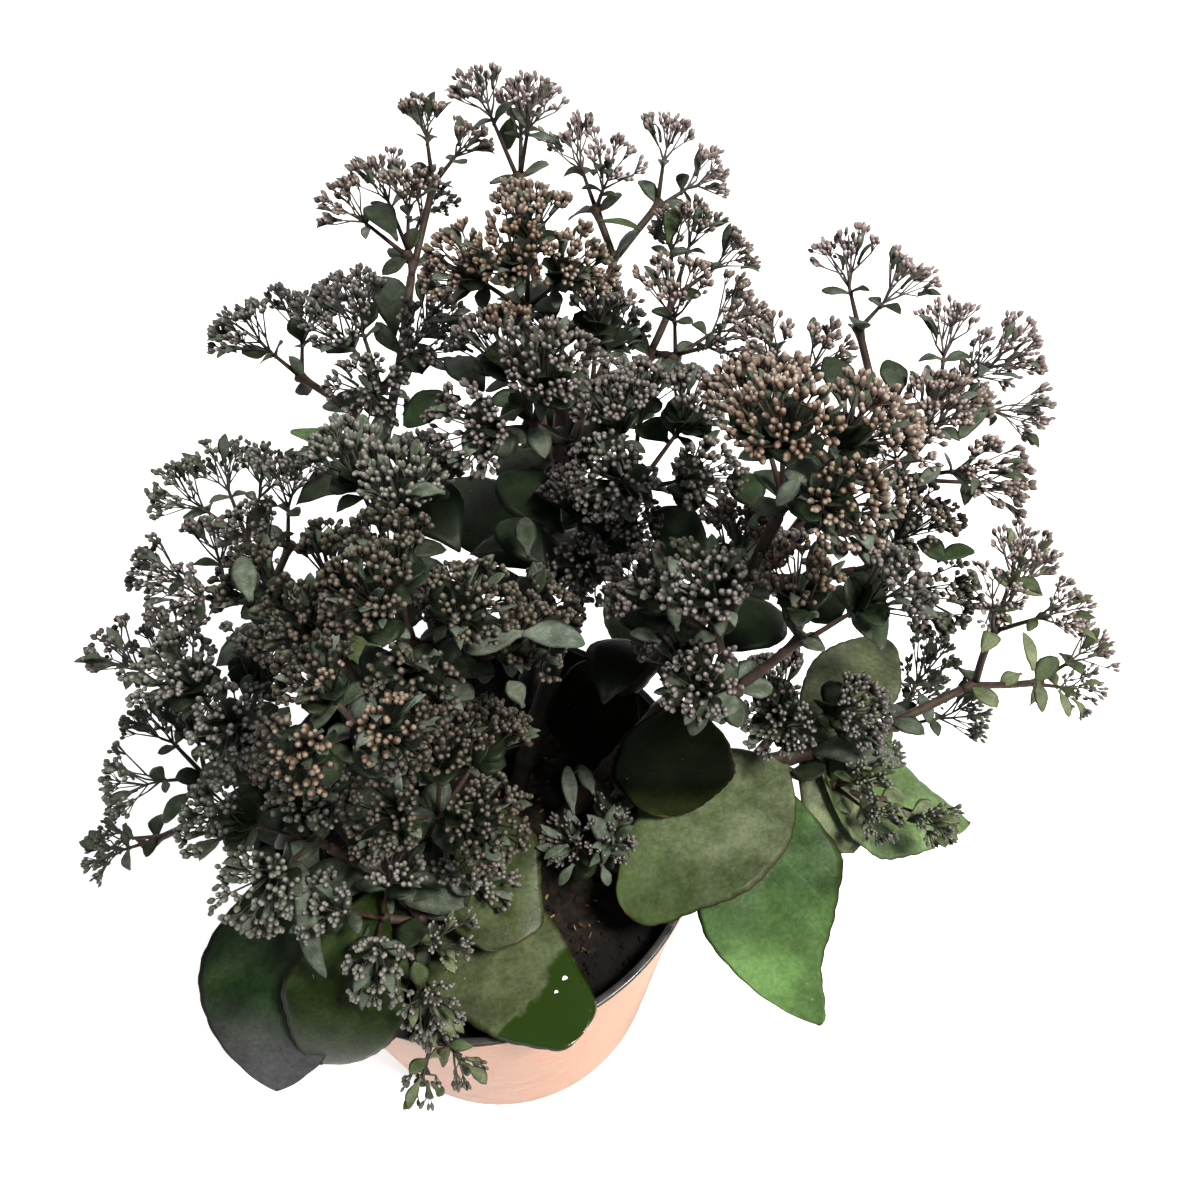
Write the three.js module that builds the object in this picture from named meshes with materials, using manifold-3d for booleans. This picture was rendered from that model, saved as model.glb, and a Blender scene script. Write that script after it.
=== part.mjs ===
// Potted sedum: an upright stonecrop in bud, standing in a moulded nursery pot.
// Millimetres, +Z up. The middle of the pot's foot is the origin.

import * as THREE from 'three';
import { mergeVertices } from 'three/addons/utils/BufferGeometryUtils.js';
import Module from 'manifold-3d';

const wasm = await Module();
wasm.setup();

// Driving dimensions of the pot and the compost
const potHeight = 178;
const rimRadius = 95;
const footRadius = 79;
const potWall = 2;
const lipHeight = 7;
const lipProud = 2;
const potSides = 28;
const drainHoles = 6;
const drainRadius = 5;
const drillSides = 6;
const soilLevel = 162;
const soilRise = 5;
const clearance = 0.3;

// Driving dimensions of the plant
const stemRadius = 4.6;
const stemSides = 5;
const stemFlat = 1;
const hubRadius = 3.1;
const twigRadius = 2;
const branchRadius = 1.7;
const neckRadius = 0.9;
const bladeThickness = 1.3;
const hookStart = 0.6;
const slimBlade = 30;
const stalkLength = 8;
const knuckleRadius = 4.4;
const knuckleLength = 3;
const neckOffset = 1.5;
const headSides = 6;
const smallHead = 13;
const rootDepth = 24;
const headDrop = 27;
const headSink = 0.4;
const forkDrop = 6;
const domeRise = 5;
const lobeDrop = 17;
const bractLength = 28;
const bractWidth = 15;
const bractHeads = 3;
const goldenAngle = Math.PI * (3 - Math.sqrt(5));

// Colours
const terracotta = 0xdba684;
const compost = 0x1b1410;
const wood = 0x4a302b;
const budGrey = 0x665955;
const budBrown = 0x7a5a45;
const leafDark = 0x2c3f26;
const leafOlive = 0x56663f;
const leafBright = 0x5b8a4c;

// The stems: where each leaves the compost, one point that it leans through, and the hub it forks from
const stems = {
  top: { root: [12, 30], lean: [26, 74, 222], hub: [36, 140, 288] },
  back_left: { root: [-10, 34], lean: [-22, 76, 215], hub: [-46, 134, 268] },
  left_back: { root: [-30, 24], lean: [-52, 50, 195], hub: [-90, 82, 218] },
  left: { root: [-38, -2], lean: [-62, 4, 192], hub: [-104, 6, 200] },
  front_left: { root: [-14, 2], lean: [-14, -2, 215], hub: [-16, -8, 290] },
  front: { root: [-24, -26], lean: [-32, -34, 190], hub: [-34, -42, 216] },
  centre: { root: [14, 6], lean: [30, 36, 225], hub: [48, 66, 280] },
  right: { root: [34, -2], lean: [60, 2, 225], hub: [88, 4, 288] },
  right_back: { root: [34, 24], lean: [78, 52, 222], hub: [136, 86, 262] },
  right_low: { root: [50, 8], lean: [86, 10, 190], hub: [142, 16, 203] },
};

// The sprays: the stem that carries each, or the root that it grows from, and its lobes of bud heads. One
// with a fork forks there, the others where laySpray puts it.
// A lobe is the middle of its dome, the number of heads, how far they spread, a head's radius, and for a
// lobe that hangs, the way it grows.
const outAndDown = [0, -0.6, -0.5];
const sprays = {
  shoot: { root: [50, -22], lobes: [[[53, -21, 212], 3, 14, 10]] },
  top: { stem: 'top', lobes: [[[15, 215, 385], 3, 17, 12]] },
  top_right: { stem: 'top', lobes: [[[50, 228, 355], 2, 10, 14], [[88, 236, 350], 2, 12, 12]] },
  side_right: { stem: 'top', lobes: [[[98, 190, 337], 3, 19, 11], [[104, 152, 326], 3, 22, 15]] },
  crown: { stem: 'top', brown: true, lobes: [[[20, 126, 379], 4, 20, 14]] },
  back_left: { stem: 'back_left', lobes: [[[-38, 236, 332], 4, 25, 13], [[-20, 262, 347], 2, 12, 11]] },
  inner_left: { stem: 'back_left', lobes: [[[-38, 137, 332], 5, 29, 15], [[-96, 174, 304], 2, 17, 15]] },
  far_left: { stem: 'left_back', lobes: [[[-127, 141, 244], 3, 22, 15]] },
  mid_left: { stem: 'left_back', lobes: [[[-79, 90, 282], 2, 15, 15], [[-131, 84, 246], 3, 23, 14]] },
  outer_left: { stem: 'left', lobes: [[[-155, 74, 206], 3, 24, 15]] },
  high_left: { stem: 'left', lobes: [[[-84, 0, 277], 3, 21, 15]] },
  low_left: { stem: 'left', lobes: [[[-142, 20, 204], 3, 22, 14], [[-182, 10, 132], 2, 12, 11]] },
  dome_back: { stem: 'front_left', lobes: [[[-22, 52, 342], 3, 20, 15]] },
  dome_left: {
    stem: 'front_left', brown: true, lobes: [[[-44, -4, 342], 3, 19, 14], [[-19, -60, 356], 3, 14, 12]],
  },
  dome_right: { stem: 'front_left', lobes: [[[-3, -12, 352], 4, 23, 14], [[26, 2, 322], 3, 20, 13]] },
  front_side: { stem: 'front', lobes: [[[-66, -34, 264], 4, 26, 15]] },
  front_top: { stem: 'front', lobes: [[[5, -27, 271], 4, 25, 15]] },
  front_low: {
    stem: 'front', fork: [-16, -56, 200],
    lobes: [[[-28, -68, 228], 3, 21, 13], [[2, -42, 218], 3, 16, 11]],
  },
  front_rim: {
    stem: 'front', lobes: [[[-10, -86, 204], 3, 17, 11], [[-8, -110, 175], 2, 9, 9, outAndDown]],
  },
  centre_back: { stem: 'centre', lobes: [[[50, 142, 334], 3, 23, 13], [[22, 71, 370], 3, 19, 15]] },
  centre: { stem: 'centre', lobes: [[[52, 60, 306], 3, 18, 12], [[74, 72, 341], 5, 27, 14]] },
  peak: { stem: 'right', brown: true, lobes: [[[112, 12, 400], 4, 20, 14]] },
  right_front: {
    stem: 'right', fork: [98, -14, 300],
    lobes: [[[90, 7, 340], 3, 19, 14], [[80, -14, 312], 2, 14, 13], [[127, -6, 346], 2, 14, 14]],
  },
  right_back: { stem: 'right_back', lobes: [[[163, 169, 339], 2, 14, 14], [[217, 153, 307], 4, 25, 14]] },
  right_top: { stem: 'right_back', lobes: [[[184, 86, 325], 5, 31, 14], [[124, 124, 336], 2, 14, 12]] },
  right_mid: { stem: 'right_back', lobes: [[[169, 43, 306], 3, 20, 15]] },
  far_right: { stem: 'right_low', lobes: [[[232, 64, 263], 4, 24, 13], [[280, 76, 187], 2, 12, 12]] },
  low_right: { stem: 'right_low', lobes: [[[214, 66, 182], 3, 21, 14]] },
  low_front: { stem: 'right_low', lobes: [[[165, -6, 212], 3, 17, 10], [[190, -14, 206], 2, 14, 10]] },
  near_right: { stem: 'right_low', fork: [130, 27, 212], lobes: [[[134, 20, 238], 3, 21, 15]] },
};

// The large leaves: the stem and how far up it each sits, its tip, its greatest width, how far the blade
// arches, how far its sides fold up, and its colour. Some also say where the blade is widest, how blunt its
// end is and how far that hooks aside.
const leaves = {
  front_left_outer: {
    stem: 'left', at: 0.62, tip: [-76, -106, 150],
    width: 60, arch: 22, fold: 0.12, belly: 1.6, blunt: 0.2, colour: leafDark,
  },
  front_left_inner: {
    stem: 'front', at: 0.84, tip: [-47, -100, 158],
    width: 48, arch: 20, fold: 0.16, belly: 1.1, blunt: 0.4, hook: -10, colour: leafDark,
  },
  front_left_blade: {
    stem: 'left', at: 0.7, tip: [-55, -78, 199],
    width: 10, arch: 4, fold: 0.3, blunt: 0.1, colour: leafOlive,
  },
  front_middle: {
    stem: 'front_left', at: 0.4, tip: [20, -64, 198],
    width: 50, arch: 2, fold: 0.12, blunt: 0.7, colour: leafOlive,
  },
  front_wet: {
    stem: 'front', at: 0.6, tip: [46, -93, 183],
    width: 50, arch: 1, fold: 0.08, blunt: 0.65, colour: leafOlive,
  },
  rim_right: {
    stem: 'right_low', at: 0.93, tip: [62, -50, 192],
    width: 58, arch: 6, fold: 0.1, colour: leafOlive,
  },
  low_right: {
    stem: 'right_low', at: 0.84, tip: [118, -80, 150],
    width: 60, arch: 9, fold: 0.14, blunt: 0.3, hook: 23, colour: leafBright,
  },
  side_right: {
    stem: 'right_low', at: 0.99, tip: [220, 8, 153],
    width: 60, arch: -13, fold: 0.14, belly: 0.72, blunt: 0.3, colour: leafBright,
  },
  shade_right: {
    stem: 'right', at: 0.88, tip: [80, -15, 207],
    width: 46, arch: 4, fold: 0.1, colour: leafDark,
  },
  back_right: {
    stem: 'right_low', at: 0.97, tip: [183, 73, 204],
    width: 38, arch: 5, fold: 0.15, colour: leafOlive,
  },
  shade_middle: {
    stem: 'right', at: 0.42, tip: [50, 62, 204],
    width: 40, arch: 5, fold: 0.1, colour: leafDark,
  },
  shade_far: {
    stem: 'right_back', at: 0.68, tip: [60, 76, 226],
    width: 28, arch: 4, fold: 0.1, colour: leafDark,
  },
  top_right: {
    stem: 'top', at: 0.82, tip: [54, 172, 266],
    width: 40, arch: 5, fold: 0.12, colour: leafDark,
  },
  top_left: {
    stem: 'top', at: 0.62, tip: [-24, 148, 226],
    width: 46, arch: 5, fold: 0.12, colour: leafDark,
  },
  top_low: {
    stem: 'top', at: 0.58, tip: [54, 140, 226],
    width: 44, arch: 5, fold: 0.12, colour: leafDark,
  },
  left_blade: {
    stem: 'back_left', at: 0.93, tip: [-88, 148, 262],
    width: 12, arch: 4, fold: 0.3, colour: leafBright,
  },
  back: {
    stem: 'right_back', at: 0.5, tip: [84, 128, 182],
    width: 46, arch: 8, fold: 0.14, colour: leafOlive,
  },
  back_far_left: {
    stem: 'left_back', at: 0.6, tip: [-86, 120, 182],
    width: 48, arch: 8, fold: 0.14, colour: leafOlive,
  },
};

const up = new THREE.Vector3(0, 0, 1);

function vector(values) {
  return new THREE.Vector3(...values);
}

// Geometry and solids

function geometryOf(positions, index) {
  const geometry = new THREE.BufferGeometry();
  geometry.setAttribute('position', new THREE.Float32BufferAttribute(positions, 3));
  geometry.setIndex(index);
  return geometry;
}

function solidOf(geometry) {
  geometry.deleteAttribute('normal');
  geometry.deleteAttribute('uv');
  const merged = mergeVertices(geometry, 1e-3);
  return new wasm.Manifold(new wasm.Mesh({
    numProp: 3,
    vertProperties: new Float32Array(merged.attributes.position.array),
    triVerts: new Uint32Array(merged.index.array),
  }));
}

function joined(solids) {
  return solids.reduce((whole, solid) => whole.add(solid));
}

function largestPiece(solid) {
  const pieces = solid.decompose();
  return pieces.reduce((best, piece) => (piece.volume() > best.volume() ? piece : best));
}

const group = new THREE.Group();

function addPiece(name, solid, colour, roughness) {
  const mesh = solid.getMesh();
  const geometry = geometryOf(Array.from(mesh.vertProperties), Array.from(mesh.triVerts));
  geometry.computeVertexNormals();
  const look = { color: colour, roughness, metalness: 0, flatShading: true };
  const piece = new THREE.Mesh(geometry, new THREE.MeshStandardMaterial(look));
  piece.name = name;
  group.add(piece);
}

// A closed round limb along a smooth curve; each ring is how far along it stands and its radius
function limb(points, rings, sides) {
  const curve = new THREE.CatmullRomCurve3(points, false, 'centripetal');
  const start = curve.getTangentAt(0);
  const bend = new THREE.Vector3().crossVectors(start, curve.getTangentAt(1));
  const straight = Math.abs(start.z) > 0.8 ? new THREE.Vector3(1, 0, 0) : up;
  const reference = bend.length() > 0.05 ? bend : straight;
  const positions = [];
  for (const [part, radius] of rings) {
    const centre = curve.getPointAt(part);
    const tangent = curve.getTangentAt(part);
    const side = new THREE.Vector3().crossVectors(reference, tangent).normalize();
    const face = new THREE.Vector3().crossVectors(tangent, side);
    for (let corner = 0; corner < sides; corner++) {
      const angle = 2 * Math.PI * corner / sides;
      const point = centre.clone()
        .addScaledVector(side, radius * Math.cos(angle))
        .addScaledVector(face, radius * Math.sin(angle));
      positions.push(...point.toArray());
    }
  }
  const index = [];
  const last = (rings.length - 1) * sides;
  for (let ring = 0; ring < rings.length - 1; ring++) {
    for (let corner = 0; corner < sides; corner++) {
      const a = ring * sides + corner;
      const b = ring * sides + (corner + 1) % sides;
      index.push(a, b, b + sides, a, b + sides, a + sides);
    }
  }
  for (let corner = 1; corner < sides - 1; corner++) {
    index.push(0, corner + 1, corner);
    index.push(last, last + corner, last + corner + 1);
  }
  return solidOf(geometryOf(positions, index));
}

// Evenly spaced rings that taper from one radius to another
function taper(startRadius, endRadius, steps) {
  return Array.from({ length: steps + 1 }, (_, step) => [
    step / steps, THREE.MathUtils.lerp(startRadius, endRadius, step / steps),
  ]);
}

// Rings of a slim limb that ends in a knuckle, where necks or branches leave it
function knuckled(points, radius, margin) {
  const length = new THREE.CatmullRomCurve3(points, false, 'centripetal').getLength();
  const slim = Math.max(0.1, 1 - knuckleLength / length);
  const middle = points.length > 2 ? [[0.5 * slim, radius + margin]] : [];
  return [[0, radius + margin], ...middle, [slim, radius + margin], [1, knuckleRadius + margin]];
}

// A domed head of buds on its neck: every other point of a lattice stands out as a bud, and the underside
// draws in to a slim neck that runs back to its foot. A small head has fewer buds.
function budHead(foot, centre, radius, neckWidth) {
  const rings = radius > smallHead ? [0.58, 1.08, 1.58] : [0.75, 1.5];
  const valley = 0.66;
  const around = headSides;
  const neckSides = around / 2;
  const axis = centre.clone().sub(foot);
  const length = axis.length();
  const turn = new THREE.Quaternion().setFromUnitVectors(up, axis.normalize());
  const place = (x, y, z) => new THREE.Vector3(x, y, z).applyQuaternion(turn).add(centre).toArray();
  const isBud = (ring, step) => (ring + step) % 2 === 0;
  const positions = [...place(0, 0, radius)];
  rings.forEach((polar, ring) => {
    for (let step = 0; step < around; step++) {
      const angle = 2 * Math.PI * step / around;
      const reach = isBud(ring, step) ? radius : radius * valley;
      const flat = reach * Math.sin(polar);
      positions.push(...place(flat * Math.cos(angle), flat * Math.sin(angle), reach * Math.cos(polar)));
    }
  });
  for (const height of [-0.8 * radius, -length]) {
    for (let side = 0; side < neckSides; side++) {
      const angle = 2 * Math.PI * side / neckSides;
      positions.push(...place(neckWidth * Math.cos(angle), neckWidth * Math.sin(angle), height));
    }
  }
  const index = [];
  const last = rings.length - 1;
  const at = (ring, step) => 1 + ring * around + step % around;
  const neck = (end, side) => 1 + rings.length * around + end * neckSides + side % neckSides;
  for (let step = 0; step < around; step++) {
    index.push(0, at(0, step), at(0, step + 1));
    for (let ring = 0; ring < last; ring++) {
      const [a, b, c, d] = [at(ring, step), at(ring, step + 1), at(ring + 1, step + 1), at(ring + 1, step)];
      index.push(...(isBud(ring, step) ? [a, d, b, b, d, c] : [a, c, b, a, d, c]));
    }
  }
  for (let side = 0; side < neckSides; side++) {
    const [a, b, c] = [at(last, 2 * side), at(last, 2 * side + 1), at(last, 2 * side + 2)];
    const [d, e, f, g] = [neck(0, side), neck(0, side + 1), neck(1, side + 1), neck(1, side)];
    index.push(a, d, b, b, d, e, b, e, c);
    index.push(d, g, e, e, g, f);
  }
  for (let side = 1; side < neckSides - 1; side++) {
    index.push(neck(1, 0), neck(1, side + 1), neck(1, side));
  }
  return solidOf(geometryOf(positions, index));
}

// A small thick leaf with a raised middle, as sits under a head of buds
function bract(base, direction, length, width, thickness) {
  const along = direction.clone().normalize();
  const side = new THREE.Vector3().crossVectors(up, along).normalize();
  const face = new THREE.Vector3().crossVectors(along, side);
  const outline = [[0, 0], [0.5, 1], [1, 0], [0.5, -1]];
  const place = (s, v, lift) => base.clone().addScaledVector(along, s * length)
    .addScaledVector(side, v * width / 2).addScaledVector(face, lift).toArray();
  const positions = [...place(0.45, 0, thickness / 2), ...place(0.45, 0, -thickness / 2)];
  for (const [s, v] of outline) {
    positions.push(...place(s, v, 0));
  }
  const index = [];
  for (let i = 0; i < outline.length; i++) {
    const a = 2 + i;
    const b = 2 + (i + 1) % outline.length;
    index.push(0, b, a, 1, a, b);
  }
  return solidOf(geometryOf(positions, index));
}

// A large leaf: one thick blade, arched along its length, folded up at its midrib, with a blunt-toothed edge.
// It is slim at its base and blunt at its tip, which may hook to one side.
// Both faces carry the same triangles, one a plain shift of the other.
function leafBlade(base, tip, { width, arch, fold, belly = 0.86, blunt = 0.5, hook = 0 }, margin) {
  const stations = 6;
  const across = width > slimBlade ? 4 : 2;
  const length = base.distanceTo(tip);
  const along = tip.clone().sub(base).normalize();
  const side = new THREE.Vector3().crossVectors(up, along).normalize();
  const face = new THREE.Vector3().crossVectors(along, side);
  const outline = (s) => Math.sin(Math.PI * s ** belly) ** (0.95 - blunt * s);
  const halfWidth = (s) => Math.max(1.6, width / 2 * (s < 1 ? outline(s) : 0)) + margin;
  const positions = [];
  for (const lift of [bladeThickness / 2 + margin, -bladeThickness / 2 - margin]) {
    for (let i = 0; i <= stations; i++) {
      const s = 1 - (1 - i / stations) ** 1.3;
      const tooth = i % 2 ? 1.035 : 0.965;
      const bend = hook * Math.max(0, (s - hookStart) / (1 - hookStart)) ** 2;
      for (let j = 0; j <= across; j++) {
        const v = 2 * j / across - 1;
        const reach = v * halfWidth(s) * (Math.abs(v) === 1 ? tooth : 1);
        const height = arch * 4 * s * (1 - s) + fold * Math.abs(reach) * (1 - s * 0.6) + lift;
        const point = base.clone().addScaledVector(along, s * length)
          .addScaledVector(side, reach + bend).addScaledVector(face, height);
        positions.push(...point.toArray());
      }
    }
  }
  const row = across + 1;
  const under = (stations + 1) * row;
  const index = [];
  for (let i = 0; i < stations; i++) {
    for (let j = 0; j < across; j++) {
      const a = i * row + j;
      const [b, c, d] = [a + row, a + row + 1, a + 1];
      const corners = j < across / 2 ? [a, b, d, d, b, c] : [a, b, c, a, c, d];
      index.push(...corners);
      index.push(...corners.map((corner) => corner + under).reverse());
    }
  }
  const edge = [];
  for (let j = 0; j < across; j++) edge.push(j);
  for (let i = 0; i < stations; i++) edge.push(i * row + across);
  for (let j = across; j > 0; j--) edge.push(stations * row + j);
  for (let i = stations; i > 0; i--) edge.push(i * row);
  edge.forEach((a, k) => {
    const b = edge[(k + 1) % edge.length];
    index.push(a, b, b + under, a, b + under, a + under);
  });
  return solidOf(geometryOf(positions, index));
}

// The pot, a tapering cup with a rolled lip and a ring of drain holes in its flat foot

function outerRadius(z) {
  return footRadius + (rimRadius - footRadius) * z / potHeight;
}

function makePot() {
  const lipStart = potHeight - lipHeight;
  const profile = [
    [0, 0], [footRadius - 1.5, 0], [footRadius, 1.5], [outerRadius(lipStart), lipStart],
    [outerRadius(lipStart) + lipProud, lipStart + 1.5], [rimRadius + lipProud - 0.5, potHeight],
    [rimRadius - potWall, potHeight], [footRadius - potWall, potWall], [0, potWall],
  ];
  let pot = solidOf(new THREE.LatheGeometry(profile.map((p) => new THREE.Vector2(...p)), potSides)
    .rotateX(Math.PI / 2));
  for (let hole = 0; hole < drainHoles; hole++) {
    const angle = 2 * Math.PI * (hole + 0.5) / drainHoles;
    const drill = new THREE.CylinderGeometry(drainRadius, drainRadius, 6 * potWall, drillSides);
    drill.rotateX(Math.PI / 2);
    drill.translate(0.78 * footRadius * Math.cos(angle), 0.78 * footRadius * Math.sin(angle), 0);
    pot = pot.subtract(solidOf(drill));
  }
  return pot;
}

// The space that the pot fills, with clearance, for trimming what hangs over its rim
function potEnvelope() {
  const profile = [
    [0, -10], [footRadius + clearance, -10], [rimRadius + lipProud + clearance, potHeight - lipHeight],
    [rimRadius + lipProud + clearance, potHeight + clearance], [0, potHeight + clearance],
  ];
  return solidOf(new THREE.LatheGeometry(profile.map((p) => new THREE.Vector2(...p)), potSides)
    .rotateX(Math.PI / 2));
}

// The compost, a plug that fits the pot, with an uneven crumbly top
function makeSoil() {
  const sides = potSides;
  const rings = 3;
  const innerRadius = (z) => outerRadius(z) - potWall - 2 * clearance;
  const positions = [0, 0, potWall + clearance];
  const index = [];
  const heightAt = (x, y) => soilLevel + soilRise * Math.exp(-(x * x + y * y) / 2800)
    + 1.3 * Math.sin(0.21 * x + 1.3) * Math.cos(0.17 * y) + 0.9 * Math.sin(0.37 * y + 0.11 * x);
  const rows = [[innerRadius(potWall), potWall + clearance]];
  for (let ring = rings; ring > 0; ring--) {
    rows.push([innerRadius(soilLevel) * ring / rings, null]);
  }
  for (const [radius, z] of rows) {
    for (let side = 0; side < sides; side++) {
      const angle = 2 * Math.PI * side / sides;
      const [x, y] = [radius * Math.cos(angle), radius * Math.sin(angle)];
      positions.push(x, y, z ?? heightAt(x, y));
    }
  }
  positions.push(0, 0, heightAt(0, 0));
  const at = (row, side) => 1 + row * sides + side % sides;
  for (let side = 0; side < sides; side++) {
    index.push(0, at(0, side + 1), at(0, side));
    for (let row = 0; row < rows.length - 1; row++) {
      const [a, b, c, d] = [at(row, side), at(row, side + 1), at(row + 1, side + 1), at(row + 1, side)];
      index.push(a, b, c, a, c, d);
    }
    index.push(at(rows.length - 1, side), at(rows.length - 1, side + 1), positions.length / 3 - 1);
  }
  return solidOf(geometryOf(positions, index));
}

// Where the wood and the heads go

function stemPoints(stem) {
  const [x, y] = stem.root;
  const below = new THREE.Vector3(x, y, soilLevel - rootDepth);
  const collar = new THREE.Vector3(x, y, soilLevel + 6);
  return [below, collar, vector(stem.lean), vector(stem.hub)];
}

function stemCurve(stem) {
  return new THREE.CatmullRomCurve3(stemPoints(stem), false, 'centripetal');
}

function average(points) {
  return points.reduce((sum, point) => sum.add(point), new THREE.Vector3()).divideScalar(points.length);
}

// A spray grows away from its stem's hub and turns up; its fork lies back along that way from its lobes
function laySpray(spray) {
  const hub = spray.root ? new THREE.Vector3(...spray.root, soilLevel) : vector(stems[spray.stem].hub);
  const tops = spray.lobes.map(([top]) => vector(top));
  const away = average(tops).sub(hub).normalize().addScaledVector(up, 0.7).normalize();
  const middles = spray.lobes.map(([, , , radius], k) => tops[k].addScaledVector(away, -headSink * radius));
  const centre = average(middles);
  const single = middles.length === 1;
  const natural = single ? centre.clone().addScaledVector(away, -headDrop)
    : centre.clone().addScaledVector(away, -headDrop - forkDrop).lerp(hub, 0.12);
  const fork = spray.fork ? vector(spray.fork) : natural;
  const lobes = spray.lobes.map(([, count, spread, radius, given], k) => {
    const outwards = single ? away : middles[k].clone().sub(fork).normalize().add(away).normalize();
    const grow = given ? vector(given).normalize() : outwards;
    const node = single ? fork : middles[k].clone().addScaledVector(grow, -lobeDrop - 0.35 * spread);
    return { node, grow, middle: middles[k], count, spread, radius };
  });
  return { fork, away, lobes };
}

// Heads fill their lobe's dome from its middle outwards, a golden angle apart
function layHeads(name, lobes) {
  const heads = [];
  lobes.forEach((lobe, k) => {
    const turn = new THREE.Quaternion().setFromUnitVectors(up, lobe.grow);
    for (let i = 0; i < lobe.count; i++) {
      const part = Math.sqrt((i + 0.5) / lobe.count);
      const angle = i * goldenAngle + k + name.length;
      const reach = lobe.spread * part;
      const rise = domeRise * (1 - 2 * part * part);
      const offset = new THREE.Vector3(reach * Math.cos(angle), reach * Math.sin(angle), rise);
      const centre = offset.applyQuaternion(turn).add(lobe.middle);
      heads.push({ name, lobe: k, radius: lobe.radius, centre });
    }
  });
  return heads;
}

// Heads that crowd each other, or another spray's wood, move apart
function spaceOut(heads, woodPoints, passes) {
  for (let pass = 0; pass < passes; pass++) {
    for (let i = 0; i < heads.length; i++) {
      for (let j = i + 1; j < heads.length; j++) {
        const gap = heads[j].centre.clone().sub(heads[i].centre);
        const room = heads[i].radius + heads[j].radius;
        const wanted = heads[i].name === heads[j].name ? room : room + 1;
        if (gap.length() < wanted) {
          gap.setLength((wanted - gap.length()) / 2);
          heads[i].centre.sub(gap);
          heads[j].centre.add(gap);
        }
      }
      for (const wood of woodPoints.filter((other) => other.name !== heads[i].name)) {
        const gap = heads[i].centre.clone().sub(wood.point);
        const wanted = heads[i].radius + 2;
        if (gap.length() < wanted) {
          heads[i].centre.add(gap.setLength((wanted - gap.length()) / 2));
        }
      }
    }
  }
}

const sprayPlans = Object.fromEntries(Object.entries(sprays).map(([name, spray]) => [name, laySpray(spray)]));
const allHeads = Object.entries(sprayPlans).flatMap(([name, plan]) => layHeads(name, plan.lobes));

// A twig leaves its stem below the hub, the lower sprays from lower down, and bows to just short of the fork,
// where the spray's own stalk takes over
function twigPoints(name) {
  const spray = sprays[name];
  if (spray.root) {
    const foot = new THREE.Vector3(...spray.root, soilLevel - rootDepth);
    return [foot, foot.clone().lerp(sprayPlans[name].fork, 0.6), sprayPlans[name].fork];
  }
  const siblings = Object.keys(sprays).filter((other) => sprays[other].stem === spray.stem);
  const rank = siblings.indexOf(name);
  const start = stemCurve(stems[spray.stem]).getPointAt(0.97 - 0.06 * rank);
  const { fork } = sprayPlans[name];
  const bow = start.clone().lerp(fork, 0.5);
  bow.z -= 0.06 * start.distanceTo(fork);
  return [start, bow, fork.clone().add(bow.clone().sub(fork).setLength(stalkLength))];
}

// The wood of a spray, as lists of points: a stalk that goes on from its twig to the fork, then a branch to
// each lobe. The last of them end where the necks of the heads start.
function woodRoutes(name) {
  const { fork, away, lobes } = sprayPlans[name];
  if (sprays[name].root) return [twigPoints(name)];
  const [, bow, end] = twigPoints(name);
  const seat = end.clone().add(end.clone().sub(bow).setLength(2 * clearance));
  const stalk = [seat, fork];
  if (lobes[0].node === fork) return [stalk];
  const branches = lobes.map((lobe) => {
    const start = footOn(fork, fork.clone().sub(seat).normalize(), lobe.node);
    const sag = -0.04 * fork.distanceTo(lobe.node);
    const middle = fork.clone().lerp(lobe.node, 0.5).addScaledVector(away, sag);
    return [start, middle, lobe.node];
  });
  return [stalk, ...branches];
}

// Where something that leaves a knuckle for a target starts: inside its end face, off to the target's side
function footOn(node, entry, target) {
  const outward = target.clone().sub(node).projectOnPlane(entry).setLength(neckOffset);
  return node.clone().add(outward).addScaledVector(entry, -0.6);
}

// Where a lobe's wood ends, and the way it points there
function knuckle(name, lobe) {
  const routes = woodRoutes(name);
  const points = routes[routes.length === 1 ? 0 : lobe + 1];
  return { node: points.at(-1), entry: points.at(-1).clone().sub(points.at(-2)).normalize() };
}

function samples(name, points) {
  const curve = new THREE.CatmullRomCurve3(points);
  return curve.getPoints(Math.ceil(curve.getLength() / 8)).map((point) => ({ name, point }));
}

const woodPoints = [
  ...Object.values(stems).flatMap((stem) => samples(null, stemPoints(stem))),
  ...Object.keys(sprays).flatMap((name) => [twigPoints(name), ...woodRoutes(name)]
    .flatMap((points) => samples(name, points))),
];
spaceOut(allHeads, woodPoints, 40);

// A stem with its twigs, grown all round by a margin when it is used to trim what touches it
function makeStem(name, margin = 0) {
  const stem = stems[name];
  const points = stemPoints(stem);
  points[0].z -= margin;
  const parts = [limb(points, taper(stemRadius + margin, hubRadius + margin, 4), stemSides)];
  for (const spray of Object.keys(sprays).filter((other) => sprays[other].stem === name)) {
    const [start, bow, end] = twigPoints(spray);
    const reach = end.clone().addScaledVector(end.clone().sub(bow).normalize(), margin);
    parts.push(limb([start, bow, reach], taper(twigRadius + 0.4 + margin, twigRadius + margin, 2), 4));
  }
  return joined(parts);
}

// A spray's forked branches, grown by the same kind of margin
function makeBranches(name, margin = 0) {
  const routes = woodRoutes(name);
  if (sprays[name].root) routes[0][0].z -= margin;
  return joined(routes.map((points) => limb(points, knuckled(points, branchRadius, margin), 4)));
}

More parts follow.
